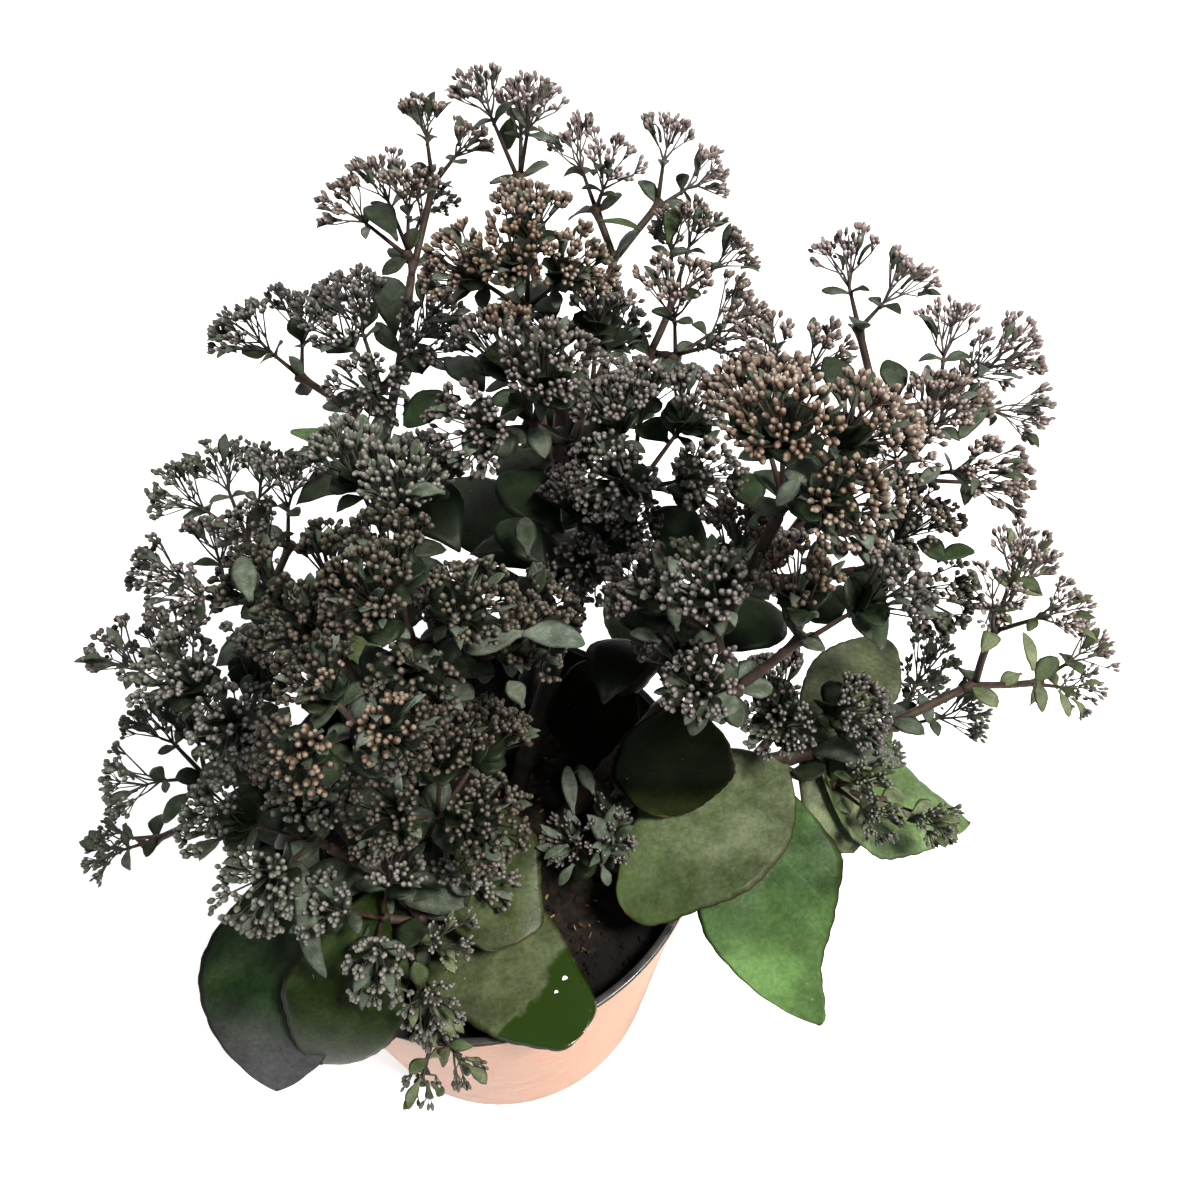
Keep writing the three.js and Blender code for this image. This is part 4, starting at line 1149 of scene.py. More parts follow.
stemLook = {
    "sides": 16, "spacing": 2.0, "scars": 7, "scarHeight": 0.7, "scarWidth": 2.2,
    "twigRings": 16, "twigPerch": 9, "twigSides": 12, "twigSwell": 0.8, "twigTaper": 0.4,
    "leafFrom": 0.55, "leafCount": 5, "leafLength": (32, 46), "leafReach": 40, "hollowReach": 25,
    "abovePot": 12, "besidePot": 15,
    "hollow": ((0, -60, 150), (125, 60, 290)),
}


def makeStem(name):
    heap = Heap()
    rng = random.Random("stem " + name)
    route = stemPoints(stems[name])
    length = lineLength(route)
    count = round(length / stemLook["spacing"])
    line = evenLine(route, count)
    part = np.linspace(0, 1, count)
    radii = plant["stemRadius"] + (plant["hubRadius"] - plant["stemRadius"]) * part
    for scar in range(stemLook["scars"]):
        spot = (scar + rng.uniform(0.3, 0.7)) / stemLook["scars"]
        off = (part - spot) * length / stemLook["scarWidth"]
        radii = radii + stemLook["scarHeight"] * np.exp(-off ** 2)
    addTube(heap, line, radii, stemLook["sides"], 0)
    rings, perch = stemLook["twigRings"], stemLook["twigPerch"]
    for spray in [other for other in sprays if sprays[other].get("stem") == name]:
        twig = evenLine(twigPoints(spray), rings)
        taper = np.linspace(plant["twigRadius"] + stemLook["twigTaper"], plant["twigRadius"], rings)
        swell = stemLook["twigSwell"] * np.exp(-(np.arange(rings) / 1.5) ** 2)
        addTube(heap, twig, taper + swell, stemLook["twigSides"], 0)
        if not inHollow(twig[perch]):
            entry = unit(twig[perch] - twig[perch - 1])
            addWhorl(heap, twig[perch], entry, 2, spoonLeaf["twigLength"], 0.6, rng, (0.2, 0.8))
    lowest, leafCount = stemLook["leafFrom"], stemLook["leafCount"]
    for leaf in range(leafCount):
        spot = lowest + (1 - lowest) * (leaf + rng.random()) / leafCount
        place = line[round(spot * (count - 1))]
        way = around(leaf * goldenAngle + len(name), rng.uniform(0.0, 0.6))
        crowded = nearPot(place + stemLook["leafReach"] * unit(way))
        if not crowded and not inHollow(place + stemLook["hollowReach"] * unit(way)):
            addSpoonLeaf(heap, place, way, rng.uniform(*stemLook["leafLength"]), 0.5, 1, rng)
    makePiece("wood_" + name, heap, [bark, spoonFinishes["sage"]], "stem_" + name)


def nearPot(place):
    low = place[2] < pot["height"] + stemLook["abovePot"]
    return low and math.hypot(place[0], place[1]) < pot["rim"] + stemLook["besidePot"]


def inHollow(place):
    # The dark hollow seen between the heads, where the wood carries no leaves
    low, high = stemLook["hollow"]
    return all(low[axis] < place[axis] < high[axis] for axis in range(3))


# The large toothed leaves; each one's own measures stand in the table of leaves and replace these

blade = {
    "width": 50.0, "arch": 5.0, "fold": 0.1, "stations": 54, "columns": 18, "belly": 0.86, "slim": 0.95,
    "blunt": 0.5, "stalk": 1.6, "ragged": 0.1, "tooth": 0.6, "teeth": 13, "thickness": 1.5, "wave": 1.6,
    "waves": 7.0, "ribWidth": 1.6, "rib": 0.4, "hook": 0.0, "curl": 0.0, "rooted": 3.0, "fullWidth": 60,
}


def makeBlade(name):
    leaf = leaves[name]
    tip = np.array(leaf["tip"], float)
    axis = alongLine(stemPoints(stems[leaf["stem"]]), leaf["at"])
    woodRadius = plant["stemRadius"] + (plant["hubRadius"] - plant["stemRadius"]) * leaf["at"]
    base = axis + unit(tip - axis) * (woodRadius + plant["rest"])
    slim = min(1, leaf["width"] / blade["fullWidth"])
    shape = dict(blade, tooth=blade["tooth"] * slim, wave=blade["wave"] * slim)
    shape.update({key: leaf[key] for key in shape if key in leaf})
    heap = Heap()
    rng = random.Random("blade " + name)
    addLeaf(heap, base, tip, shape, 0, rng.random())
    finish = bladeFinishes.get(name, bladeFinishes[leaf["look"]])
    makePiece("blade_" + name, heap, [finish], "leaf_" + name)


# The pot: a thin moulded cup with a rolled lip and drain holes, clay-coloured outside and black inside

def outerRadius(z):
    return pot["foot"] + (pot["rim"] - pot["foot"]) * z / pot["height"]


def lathe(heap, profile, sides, stretches):
    # A turned surface; each stretch of the profile has its own finish, and a point on the axis closes it
    angles = 2 * math.pi * np.arange(sides) / sides
    ring = np.stack([np.cos(angles), np.sin(angles)], axis=1)
    for low, high, slot in stretches:
        rows = profile[low:high + 1]
        points = [np.column_stack([max(r, 0.01) * ring, np.full(sides, z)]) for r, z in rows]
        along = np.repeat(np.linspace(0, 1, len(rows)), sides)
        heap.add(np.concatenate(points), [ringFaces(len(rows), sides)], slot, along)


def arcPoints(centre, radius, start, end, count):
    steps = np.linspace(math.radians(start), math.radians(end), count)
    return [(centre[0] + radius * math.cos(a), centre[1] + radius * math.sin(a)) for a in steps]


def makePot(finishes):
    # The profile runs from the middle of the foot up the outside, over the lip and back down the inside
    top, foot, wall = pot["height"], pot["foot"], pot["wall"]
    curve, wallRings, heel, lip = pot["curve"], pot["wallRings"], pot["footRound"], pot["lipRound"]
    lipStart = top - pot["lipHeight"]
    wallTop = outerRadius(lipStart)
    lipOut = pot["rim"] + pot["lipProud"] - 0.5
    outside = [(0, 0), (20, 0), (45, 0), (foot - 2 * heel, 0)]
    outside += arcPoints((foot - heel, heel), heel, -90, -4, curve)
    outside += [(outerRadius(z), z) for z in np.linspace(8, lipStart - 2, wallRings)]
    outside += [(wallTop, lipStart - 0.4), (wallTop + 0.7, lipStart + 0.4), (wallTop + 1.8, lipStart + 1.2)]
    outside += [(wallTop + pot["lipProud"] + 0.1, lipStart + 2.2)]
    brim = arcPoints((lipOut - lip, top - lip), lip, 0, 90, curve)
    brim += arcPoints((pot["rim"] - wall + lip, top - lip), lip, 90, 180, curve)
    inside = [(outerRadius(z) - wall, z) for z in np.linspace(top - 6, 4, wallRings)]
    inside += [(foot - wall - 1, wall), (45, wall), (20, wall), (0, wall)]
    profile = outside + brim + inside
    edge = len(outside)
    heap = Heap()
    lathe(heap, profile, pot["sides"], [(0, edge, 0), (edge, len(profile) - 1, 1)])
    shell = makePiece("pot_shell", heap, finishes, "pot")
    weld(shell)
    drillHoles(shell)


def weld(piece):
    # Close the seam between the stretches of the profile
    shape = bmesh.new()
    shape.from_mesh(piece.data)
    bmesh.ops.remove_doubles(shape, verts=shape.verts, dist=0.02 * mm)
    bmesh.ops.recalc_face_normals(shape, faces=shape.faces)
    shape.to_mesh(piece.data)
    shape.free()


def drillHoles(shell):
    heap = Heap()
    for hole in range(pot["holes"]):
        angle = 2 * math.pi * (hole + 0.5) / pot["holes"]
        place = around(angle, 0.0, pot["holeRing"] * pot["foot"])
        line = [place + depth * up for depth in pot["drill"]]
        addTube(heap, line, [pot["holeRadius"]] * len(line), 24, 0)
    mesh = bpy.data.meshes.new("drill")
    mesh.from_pydata((np.concatenate(heap.points) * mm).tolist(), [], heap.faces)
    drill = addObject("drill", mesh)
    cut = shell.modifiers.new("holes", "BOOLEAN")
    cut.operation = "DIFFERENCE"
    cut.solver = "EXACT"
    cut.object = drill
    bpy.context.view_layer.update()
    drilled = bpy.data.meshes.new_from_object(shell.evaluated_get(bpy.context.evaluated_depsgraph_get()))
    shell.modifiers.clear()
    shell.data = drilled
    bpy.data.objects.remove(drill)
    drilled.set_sharp_from_angle(angle=math.radians(pot["smoothBelow"]))


# The compost: a crumbly plug with loose crumbs, bits of bark and paler fibres on top

compost = {
    "gap": 0.6, "sides": 144, "rings": 46, "lumps": 2.0, "crumbs": 1500, "crumbSize": (0.5, 2.2),
    "chips": 34, "chipLength": (3, 9), "bits": 300, "bitLength": (0.8, 3.2),
}


def soilHeight(x, y):
    rise = pot["soilLevel"] + pot["soilRise"] * math.exp(-(x * x + y * y) / 2800)
    return rise + 1.3 * math.sin(0.21 * x + 1.3) * math.cos(0.17 * y) + 0.9 * math.sin(0.37 * y + 0.11 * x)


def lumpyHeight(x, y):
    coarse = noise.noise(Vector((x * 0.13, y * 0.13, 4.0)))
    fine = noise.noise(Vector((x * 0.5, y * 0.5, 9.0)))
    return soilHeight(x, y) + compost["lumps"] * (coarse + 0.5 * fine) - 0.4


def onSurface(angle, reach):
    x, y = reach * math.cos(angle), reach * math.sin(angle)
    return np.array([x, y, lumpyHeight(x, y)])


def scatter(rng):
    edge = outerRadius(pot["soilLevel"]) - pot["wall"] - 3
    reach = edge * math.sqrt(rng.random())
    return onSurface(rng.uniform(0, 2 * math.pi), reach)


def addPebble(heap, place, size, rng, slot):
    # A small uneven lump: two rings and two ends, each point pushed about
    turn = turnTo(unit(np.array([rng.uniform(-1, 1), rng.uniform(-1, 1), rng.uniform(0.1, 1)])))
    sides = 5
    points = []
    for height, radius in ((-0.45, 0.8), (0.4, 0.85)):
        for corner in range(sides):
            angle = 2 * math.pi * (corner + rng.uniform(-0.2, 0.2)) / sides + height
            points.append(around(angle, height, radius) * rng.uniform(0.75, 1.2))
    points += [-0.9 * up, 0.95 * up]
    points = np.array(points) @ turn.T * size * np.array([1, 1, 0.8]) + place
    low = 2 * sides
    caps = np.concatenate([fanFaces(low, 0, sides, False), fanFaces(low + 1, sides, sides, True)])
    heap.add(points, [ringFaces(2, sides), caps], slot, 0.5, 0.0, rng.random())


def addFlake(heap, place, length, width, depth, rng, slot):
    # A flat splinter of bark, lying tilted
    angle = rng.uniform(0, 2 * math.pi)
    along = unit(around(angle, rng.uniform(-0.12, 0.12)))
    side = unit(np.cross(up, along) + np.array([0, 0, rng.uniform(-0.3, 0.3)]))
    face = np.cross(along, side)
    outline = [(-0.5, -0.3), (-0.2, -0.5), (0.3, -0.4), (0.5, 0.0),
               (0.35, 0.45), (-0.1, 0.5), (-0.45, 0.25)]
    points = []
    for lift in (-depth / 2, depth / 2):
        for s, v in outline:
            bend = lift + 0.06 * length * s * s * rng.uniform(0.5, 1.5)
            stretch = s * length * rng.uniform(0.92, 1.05)
            points.append(place + along * stretch + side * v * width + face * bend)
    count = len(outline)
    corner = np.arange(count)
    faces = [ringFaces(2, count), corner[None, ::-1], corner[None] + count]
    heap.add(points, faces, slot, 0.5, 0.0, rng.random())


def makeCompost(finishes):
    heap = Heap()
    sides, rings = compost["sides"], compost["rings"]
    edge = outerRadius(pot["soilLevel"]) - pot["wall"] - compost["gap"]
    foot = outerRadius(pot["wall"]) - pot["wall"] - compost["gap"]
    low = pot["wall"] + plant["rest"]
    angles = [2 * math.pi * side / sides for side in range(sides)]
    points = [around(0, low, 0)] + [around(angle, low, foot) for angle in angles]
    for ring in range(rings, 0, -1):
        points += [onSurface(angle, edge * ring / rings) for angle in angles]
    points.append(onSurface(0, 0))
    top = 1 + rings * sides
    caps = np.concatenate([fanFaces(0, 1, sides, False), fanFaces(len(points) - 1, top, sides, True)])
    heap.add(points, [ringFaces(rings + 1, sides, 1), caps], 0)
    rng = random.Random("crumbs")
    for _ in range(compost["crumbs"]):
        size = rng.uniform(*compost["crumbSize"]) * rng.uniform(0.5, 1)
        addPebble(heap, scatter(rng) + size * 0.35 * up, size, rng, 0)
    for _ in range(compost["chips"]):
        length = rng.uniform(*compost["chipLength"])
        addFlake(heap, scatter(rng) + up, length, length * rng.uniform(0.3, 0.6), 1.2, rng, 1)
    for _ in range(compost["bits"]):
        length = rng.uniform(*compost["bitLength"])
        addFlake(heap, scatter(rng) + 0.8 * up, length, length * rng.uniform(0.15, 0.5), 0.6, rng, 2)
    makePiece("compost", heap, finishes, "soil", smooth=False)


# Finishes. Each kind of skin has its gloss, the scale and strength of its mottling, and its roughness over
# the range of wear that decides it; then the strength and reach of its relief, and what else it needs.

skins = {
    "bud": {"shine": 0.15, "scale": 420.0, "amount": 0.35, "wear": (0.2, 0.8), "rough": (0.5, 0.75),
            "relief": (0.25, 0.0004), "drift": 38.0},
    "bark": {"shine": 0.2, "scale": 260.0, "amount": 0.8, "wear": (0.0, 0.35), "rough": (0.45, 0.7),
             "relief": (0.4, 0.0006), "waxScale": 420.0, "cover": 0.35, "drawn": (1.0, 1.0, 0.22)},
    "smallLeaf": {"shine": 0.15, "scale": 170.0, "amount": 0.35, "wear": (0.0, 0.55), "rough": (0.5, 0.72),
                  "relief": (0.25, 0.0005), "waxScale": 200.0, "veins": 5.0, "ribShare": 0.3,
                  "sideShare": 0.2, "aged": 110.0, "rimFrom": 0.88, "rimShare": 0.6},
    "blade": {"shine": 0.25, "scale": 62.0, "amount": 1.0, "wear": (0.0, 0.5), "rough": (0.36, 0.6),
              "relief": (0.18, 0.0008), "waxScale": 55.0, "veins": 8.0, "ribShare": 0.5,
              "sideShare": 0.16, "aged": 34.0, "rimFrom": 0.955, "rimShare": 0.8},
    "compost": {"shine": 0.25, "scale": 240.0, "amount": 0.9, "wear": (0.2, 0.8), "rough": (0.75, 0.98),
                "relief": (0.7, 0.0015)},
    "potOutside": {"shine": 0.4, "scale": 14.0, "amount": 0.35, "wear": (0.2, 0.8), "rough": (0.38, 0.5),
                   "relief": (0.08, 0.0006)},
    "potInside": {"shine": 0.5, "scale": 70.0, "amount": 0.35, "wear": (0.0, 1.0), "rough": (0.2, 0.42),
                  "relief": (0.06, 0.0005)},
}


def newFinish(name, shine):
    material = bpy.data.materials.new(name)
    material.use_nodes = True
    material.node_tree.nodes["Principled BSDF"].inputs["Specular IOR Level"].default_value = shine
    return material, material.node_tree


def addMottle(tree, skin, place, colour, blotch):
    return useEffect(tree, "mottle", {"Place": place, "Scale": skin["scale"], "Amount": skin["amount"],
                                      "Colour": colour, "Blotch": blotch})


def addWax(tree, skin, place, cover, colour, wax):
    return useEffect(tree, "wax", {"Place": place, "Scale": skin["waxScale"], "Cover": cover,
                                   "Colour": colour, "Wax": wax})


def addVeins(tree, skin, along, across, colour, line):
    veins = useEffect(tree, "veins", {"Along": along, "Across": across, "Count": skin["veins"]})
    ribbed = mixColour(tree, product(tree, veins["Rib"], skin["ribShare"]), colour, line)
    return mixColour(tree, product(tree, veins["Side"], skin["sideShare"]), ribbed, line), veins["Side"]


def addAge(tree, skin, place, grain, colour):
    sockets = {"Place": place, "Scale": skin["aged"], "Grain": grain, "Colour": colour}
    return useEffect(tree, "aged", sockets)["Colour"]


def rimMask(tree, skin, across):
    return ramp(tree, doMath(tree, "ABSOLUTE", across), skin["rimFrom"], 1.0, 0.0, skin["rimShare"])


def wornRoughness(tree, skin, wear):
    return ramp(tree, wear, *skin["wear"], *skin["rough"])


def linkFinish(tree, skin, colour, rough, height):
    # The last step of each finish: colour, roughness and a fine relief
    shader = tree.nodes["Principled BSDF"]
    strength, reach = skin["relief"]
    bump = addNode(tree, "ShaderNodeBump", {"Height": height, "Strength": strength, "Distance": reach})
    tree.links.new(colour, shader.inputs["Base Color"])
    tree.links.new(rough, shader.inputs["Roughness"])
    tree.links.new(bump.outputs[0], shader.inputs["Normal"])


budLooks = {
    "dark": {"shadedCalyx": (0.002, 0.003, 0.001, 1), "body": (0.010, 0.010, 0.006, 1),
             "warm": (0.020, 0.015, 0.010, 1), "tip": (0.100, 0.085, 0.064, 1)},
    "dusk": {"shadedCalyx": (0.004, 0.005, 0.002, 1), "body": (0.020, 0.020, 0.013, 1),
             "warm": (0.038, 0.030, 0.023, 1), "tip": (0.145, 0.125, 0.100, 1)},
    "grey": {"shadedCalyx": (0.009, 0.010, 0.007, 1), "body": (0.044, 0.043, 0.038, 1),
             "warm": (0.067, 0.056, 0.052, 1), "tip": (0.225, 0.205, 0.190, 1)},
    "tan": {"shadedCalyx": (0.024, 0.020, 0.015, 1), "body": (0.096, 0.078, 0.068, 1),
            "warm": (0.138, 0.104, 0.092, 1), "tip": (0.35, 0.295, 0.275, 1)},
    "pale": {"shadedCalyx": (0.055, 0.044, 0.039, 1), "body": (0.158, 0.127, 0.121, 1),
             "warm": (0.205, 0.158, 0.153, 1), "tip": (0.40, 0.345, 0.345, 1)},
    "fawn": {"shadedCalyx": (0.019, 0.014, 0.009, 1), "body": (0.085, 0.064, 0.050, 1),
             "warm": (0.122, 0.088, 0.068, 1), "tip": (0.34, 0.280, 0.235, 1)},
    "ash": {"shadedCalyx": (0.022, 0.025, 0.018, 1), "body": (0.080, 0.082, 0.068, 1),
            "warm": (0.100, 0.094, 0.080, 1), "tip": (0.245, 0.235, 0.212, 1)},
    "brown": {"shadedCalyx": (0.007, 0.005, 0.003, 1), "body": (0.038, 0.026, 0.017, 1),
              "warm": (0.074, 0.048, 0.033, 1), "tip": (0.25, 0.192, 0.145, 1)},
    "umber": {"shadedCalyx": (0.005, 0.004, 0.002, 1), "body": (0.024, 0.018, 0.011, 1),
              "warm": (0.046, 0.031, 0.021, 1), "tip": (0.165, 0.122, 0.088, 1)},
    "green": {"shadedCalyx": (0.017, 0.022, 0.013, 1), "body": (0.056, 0.062, 0.047, 1),
              "warm": (0.076, 0.074, 0.060, 1), "tip": (0.220, 0.220, 0.190, 1)},
}


def makeBudFinish(name, look):
    skin = skins["bud"]
    material, tree = newFinish("bud_" + name, skin["shine"])
    along, tint = readAttribute(tree, "along"), readAttribute(tree, "tint")
    place = objectPlace(tree)
    lean = product(tree, doMath(tree, "ADD", tint, cloud(tree, place, skin["drift"], 2.0)), 0.5)
    body = mixColour(tree, ramp(tree, lean, 0.3, 0.7), look["body"], look["warm"])
    # Painted shade: each bud's foot turns to the near-black calyx colour, where the buds shade each other
    lower = mixColour(tree, ramp(tree, along, 0.02, 0.38), look["shadedCalyx"], body)
    # The pale tip is partly the bud's own pinkish tip and partly a painted highlight where the bud faces up
    # into the light
    upper = mixColour(tree, ramp(tree, along, 0.66, 1.0, 0.0, 0.9), lower, look["tip"])
    mottled = addMottle(tree, skin, place, upper, look["shadedCalyx"])
    linkFinish(tree, skin, mottled["Colour"], wornRoughness(tree, skin, mottled["Fine"]), mottled["Fine"])
    return material


# The inner colour is painted shade, for bark low down in the middle of the plant
barkLook = {"colour": (0.020, 0.011, 0.008, 1), "young": (0.046, 0.029, 0.020, 1),
            "skin": (0.060, 0.042, 0.031, 1), "inner": (0.0035, 0.0030, 0.0020, 1)}


def makeBarkFinish():
    skin = skins["bark"]
    material, tree = newFinish("bark", skin["shine"])
    place = objectPlace(tree)
    drawn = addNode(tree, "ShaderNodeMapping", {"Vector": place, "Scale": skin["drawn"]}).outputs[0]
    mottled = addMottle(tree, skin, drawn, barkLook["colour"], barkLook["young"])
    skinned = addWax(tree, skin, drawn, skin["cover"], mottled["Colour"], barkLook["skin"])
    # Painted shade: bark deep inside the plant turns near black
    depth = useEffect(tree, "depth", {"Place": place})["Depth"]
    colour = mixColour(tree, depth, skinned["Colour"], barkLook["inner"])
    linkFinish(tree, skin, colour, wornRoughness(tree, skin, skinned["Dull"]), mottled["Fine"])
    return material


# Small leaves: "sage" under a waxy powder, "fresh" without it and greener, "shade" for the big inner ones
spoonLooks = {
    "sage": {"deep": (0.004, 0.008, 0.003, 1), "mid": (0.026, 0.036, 0.018, 1),
             "pale": (0.062, 0.076, 0.050, 1), "wax": (0.115, 0.138, 0.122, 1),
             "edge": (0.085, 0.075, 0.055, 1), "cover": 0.7},
    "fresh": {"deep": (0.020, 0.032, 0.010, 1), "mid": (0.048, 0.068, 0.028, 1),
              "pale": (0.120, 0.142, 0.072, 1), "wax": (0.130, 0.155, 0.110, 1),
              "edge": (0.120, 0.050, 0.025, 1), "cover": 0.3},
    "shade": {"deep": (0.002, 0.005, 0.001, 1), "mid": (0.007, 0.016, 0.004, 1),
              "pale": (0.020, 0.036, 0.012, 1), "wax": (0.028, 0.044, 0.022, 1),
              "edge": (0.020, 0.022, 0.012, 1), "cover": 0.4},
}


def makeSpoonFinish(name, look):
    skin = skins["smallLeaf"]
    material, tree = newFinish("small_leaf_" + name, skin["shine"])
    along, across, tint = (readAttribute(tree, label) for label in ("along", "across", "tint"))
    place = objectPlace(tree)
    green = mixColour(tree, ramp(tree, tint, 0.0, 0.6), look["deep"], look["mid"])
    green = mixColour(tree, ramp(tree, tint, 0.45, 1.0), green, look["pale"])
    mottled = addMottle(tree, skin, place, green, look["mid"])
    cover = ramp(tree, tint, 0.1, 0.9, 0.0, look["cover"])
    waxed = addWax(tree, skin, place, cover, mottled["Colour"], look["wax"])
    lined, _ = addVeins(tree, skin, along, across, waxed["Colour"], look["mid"])
    edged = mixColour(tree, product(tree, rimMask(tree, skin, across), tint), lined, look["edge"])
    aged = addAge(tree, skin, place, mottled["Fine"], edged)
    # Painted shade: small leaves deep inside the plant take their deepest green
    depth = useEffect(tree, "depth", {"Place": place})["Depth"]
    colour = mixColour(tree, depth, aged, look["deep"])
    linkFinish(tree, skin, colour, wornRoughness(tree, skin, waxed["Dull"]), mottled["Fine"])
    return material


# The dark look and the looks of the shade_ leaves are painted shade: near-black greens for leaves that lie
# deep in the plant's shade
bladeLooks = {
    "dark": {"colour": (0.0030, 0.0060, 0.0018, 1), "blotch": (0.010, 0.018, 0.006, 1),
             "wax": (0.022, 0.034, 0.016, 1), "cover": 0.3, "shine": 0.04},
    "rim_right": {"colour": (0.036, 0.052, 0.018, 1), "blotch": (0.070, 0.088, 0.042, 1),
                  "wax": (0.125, 0.142, 0.094, 1), "cover": 0.5, "end": (0.036, 0.058, 0.016, 1),
                  "endFrom": 0.55, "shine": 0.08},
    "olive": {"colour": (0.046, 0.066, 0.022, 1), "blotch": (0.080, 0.104, 0.046, 1),
              "wax": (0.115, 0.135, 0.080, 1), "cover": 0.3},
    # The bright look's main colour is painted shade from the plant above it; its end colour is its green
    # towards the tip, where no shade is painted
    "bright": {"colour": (0.018, 0.042, 0.009, 1), "blotch": (0.040, 0.080, 0.022, 1),
               "wax": (0.080, 0.135, 0.062, 1), "cover": 0.35, "end": (0.105, 0.195, 0.062, 1),
               "shine": 0.08},
    "side_right": {"colour": (0.085, 0.135, 0.045, 1), "blotch": (0.130, 0.200, 0.080, 1),
                   "wax": (0.165, 0.245, 0.125, 1), "cover": 0.3},
    "front_left_outer": {"colour": (0.004, 0.012, 0.003, 1), "blotch": (0.011, 0.023, 0.007, 1),
                         "wax": (0.026, 0.040, 0.020, 1), "cover": 0.25, "end": (0.064, 0.062, 0.068, 1),
                         "endFrom": 0.66, "shine": 0.1},
    "front_left_inner": {"colour": (0.008, 0.016, 0.002, 1), "blotch": (0.018, 0.031, 0.006, 1),
                         "wax": (0.034, 0.048, 0.018, 1), "cover": 0.25, "shine": 0.1},
    "front_left_blade": {"colour": (0.075, 0.090, 0.062, 1), "blotch": (0.110, 0.130, 0.098, 1),
                         "wax": (0.17, 0.19, 0.16, 1), "cover": 0.4},
    "front_middle": {"colour": (0.018, 0.026, 0.007, 1), "blotch": (0.034, 0.046, 0.015, 1),
                     "wax": (0.062, 0.078, 0.036, 1), "cover": 0.3, "shine": 0.2},
    "front_wet": {"colour": (0.028, 0.038, 0.012, 1), "blotch": (0.050, 0.064, 0.026, 1),
                  "wax": (0.080, 0.095, 0.056, 1), "cover": 0.35, "wet": (0.011, 0.025, 0.001, 1),
                  "shine": 0.15},
    "shade_middle": {"colour": (0.0012, 0.0022, 0.0004, 1), "blotch": (0.0026, 0.0044, 0.0010, 1),
                     "wax": (0.005, 0.008, 0.003, 1), "cover": 0.25, "shine": 0.02},
    "shade_far": {"colour": (0.0012, 0.0022, 0.0004, 1), "blotch": (0.0030, 0.0050, 0.0012, 1),
                  "wax": (0.006, 0.009, 0.003, 1), "cover": 0.25, "shine": 0.02},
    "back_right": {"colour": (0.050, 0.062, 0.030, 1), "blotch": (0.072, 0.086, 0.046, 1),
                   "wax": (0.100, 0.115, 0.080, 1), "cover": 0.4, "shine": 0.1},
    "shade_right": {"colour": (0.0012, 0.0022, 0.0004, 1), "blotch": (0.0030, 0.0050, 0.0012, 1),
                    "wax": (0.006, 0.009, 0.003, 1), "cover": 0.25, "shine": 0.02,
                    "end": (0.026, 0.034, 0.012, 1), "endFrom": 0.62},
}
# The drop colour is a painted highlight, the glint of water drops on a wet tip
bladeEdge = {
    "colour": (0.055, 0.028, 0.015, 1), "speckle": (0.26, 0.27, 0.10, 1), "drop": (0.7, 0.75, 0.68, 1),
    "speckleScale": 260.0, "speckleSize": 0.16, "speckleShare": 0.4, "patchScale": 24.0,
    "glintScale": 130.0, "glintSize": 0.2, "glintBand": 0.045, "wetFrom": (0.76, 0.80), "wetCoat": 0.45,
    "wetRough": 0.14, "coatRough": 0.08, "endFrom": 0.35, "endShare": 0.85, "ragged": 0.06,
    "veinRelief": 0.25,
}


def addSpeckles(tree, place):
    # Sparse pale dots, most of them in patches
    cells = addNode(tree, "ShaderNodeTexVoronoi", {"Vector": place, "Scale": bladeEdge["speckleScale"]})
    patch = cloud(tree, place, bladeEdge["patchScale"], 2.0)
    size = ramp(tree, patch, 0.5, 0.75, 0.0, bladeEdge["speckleSize"])
    inside = doMath(tree, "LESS_THAN", cells.outputs["Distance"], size)
    return product(tree, inside, bladeEdge["speckleShare"])


def addPaintedGlints(tree, place, ragged):
    # Painted highlights: pale dots in the colour that stand for the glints of small water drops along the
    # line where a wetted tip begins
    cells = addNode(tree, "ShaderNodeTexVoronoi", {"Vector": place, "Scale": bladeEdge["glintScale"]})
    inside = doMath(tree, "LESS_THAN", cells.outputs["Distance"], bladeEdge["glintSize"])
    away = doMath(tree, "ABSOLUTE", doMath(tree, "SUBTRACT", ragged, bladeEdge["wetFrom"][1]))
    return product(tree, inside, doMath(tree, "LESS_THAN", away, bladeEdge["glintBand"]))


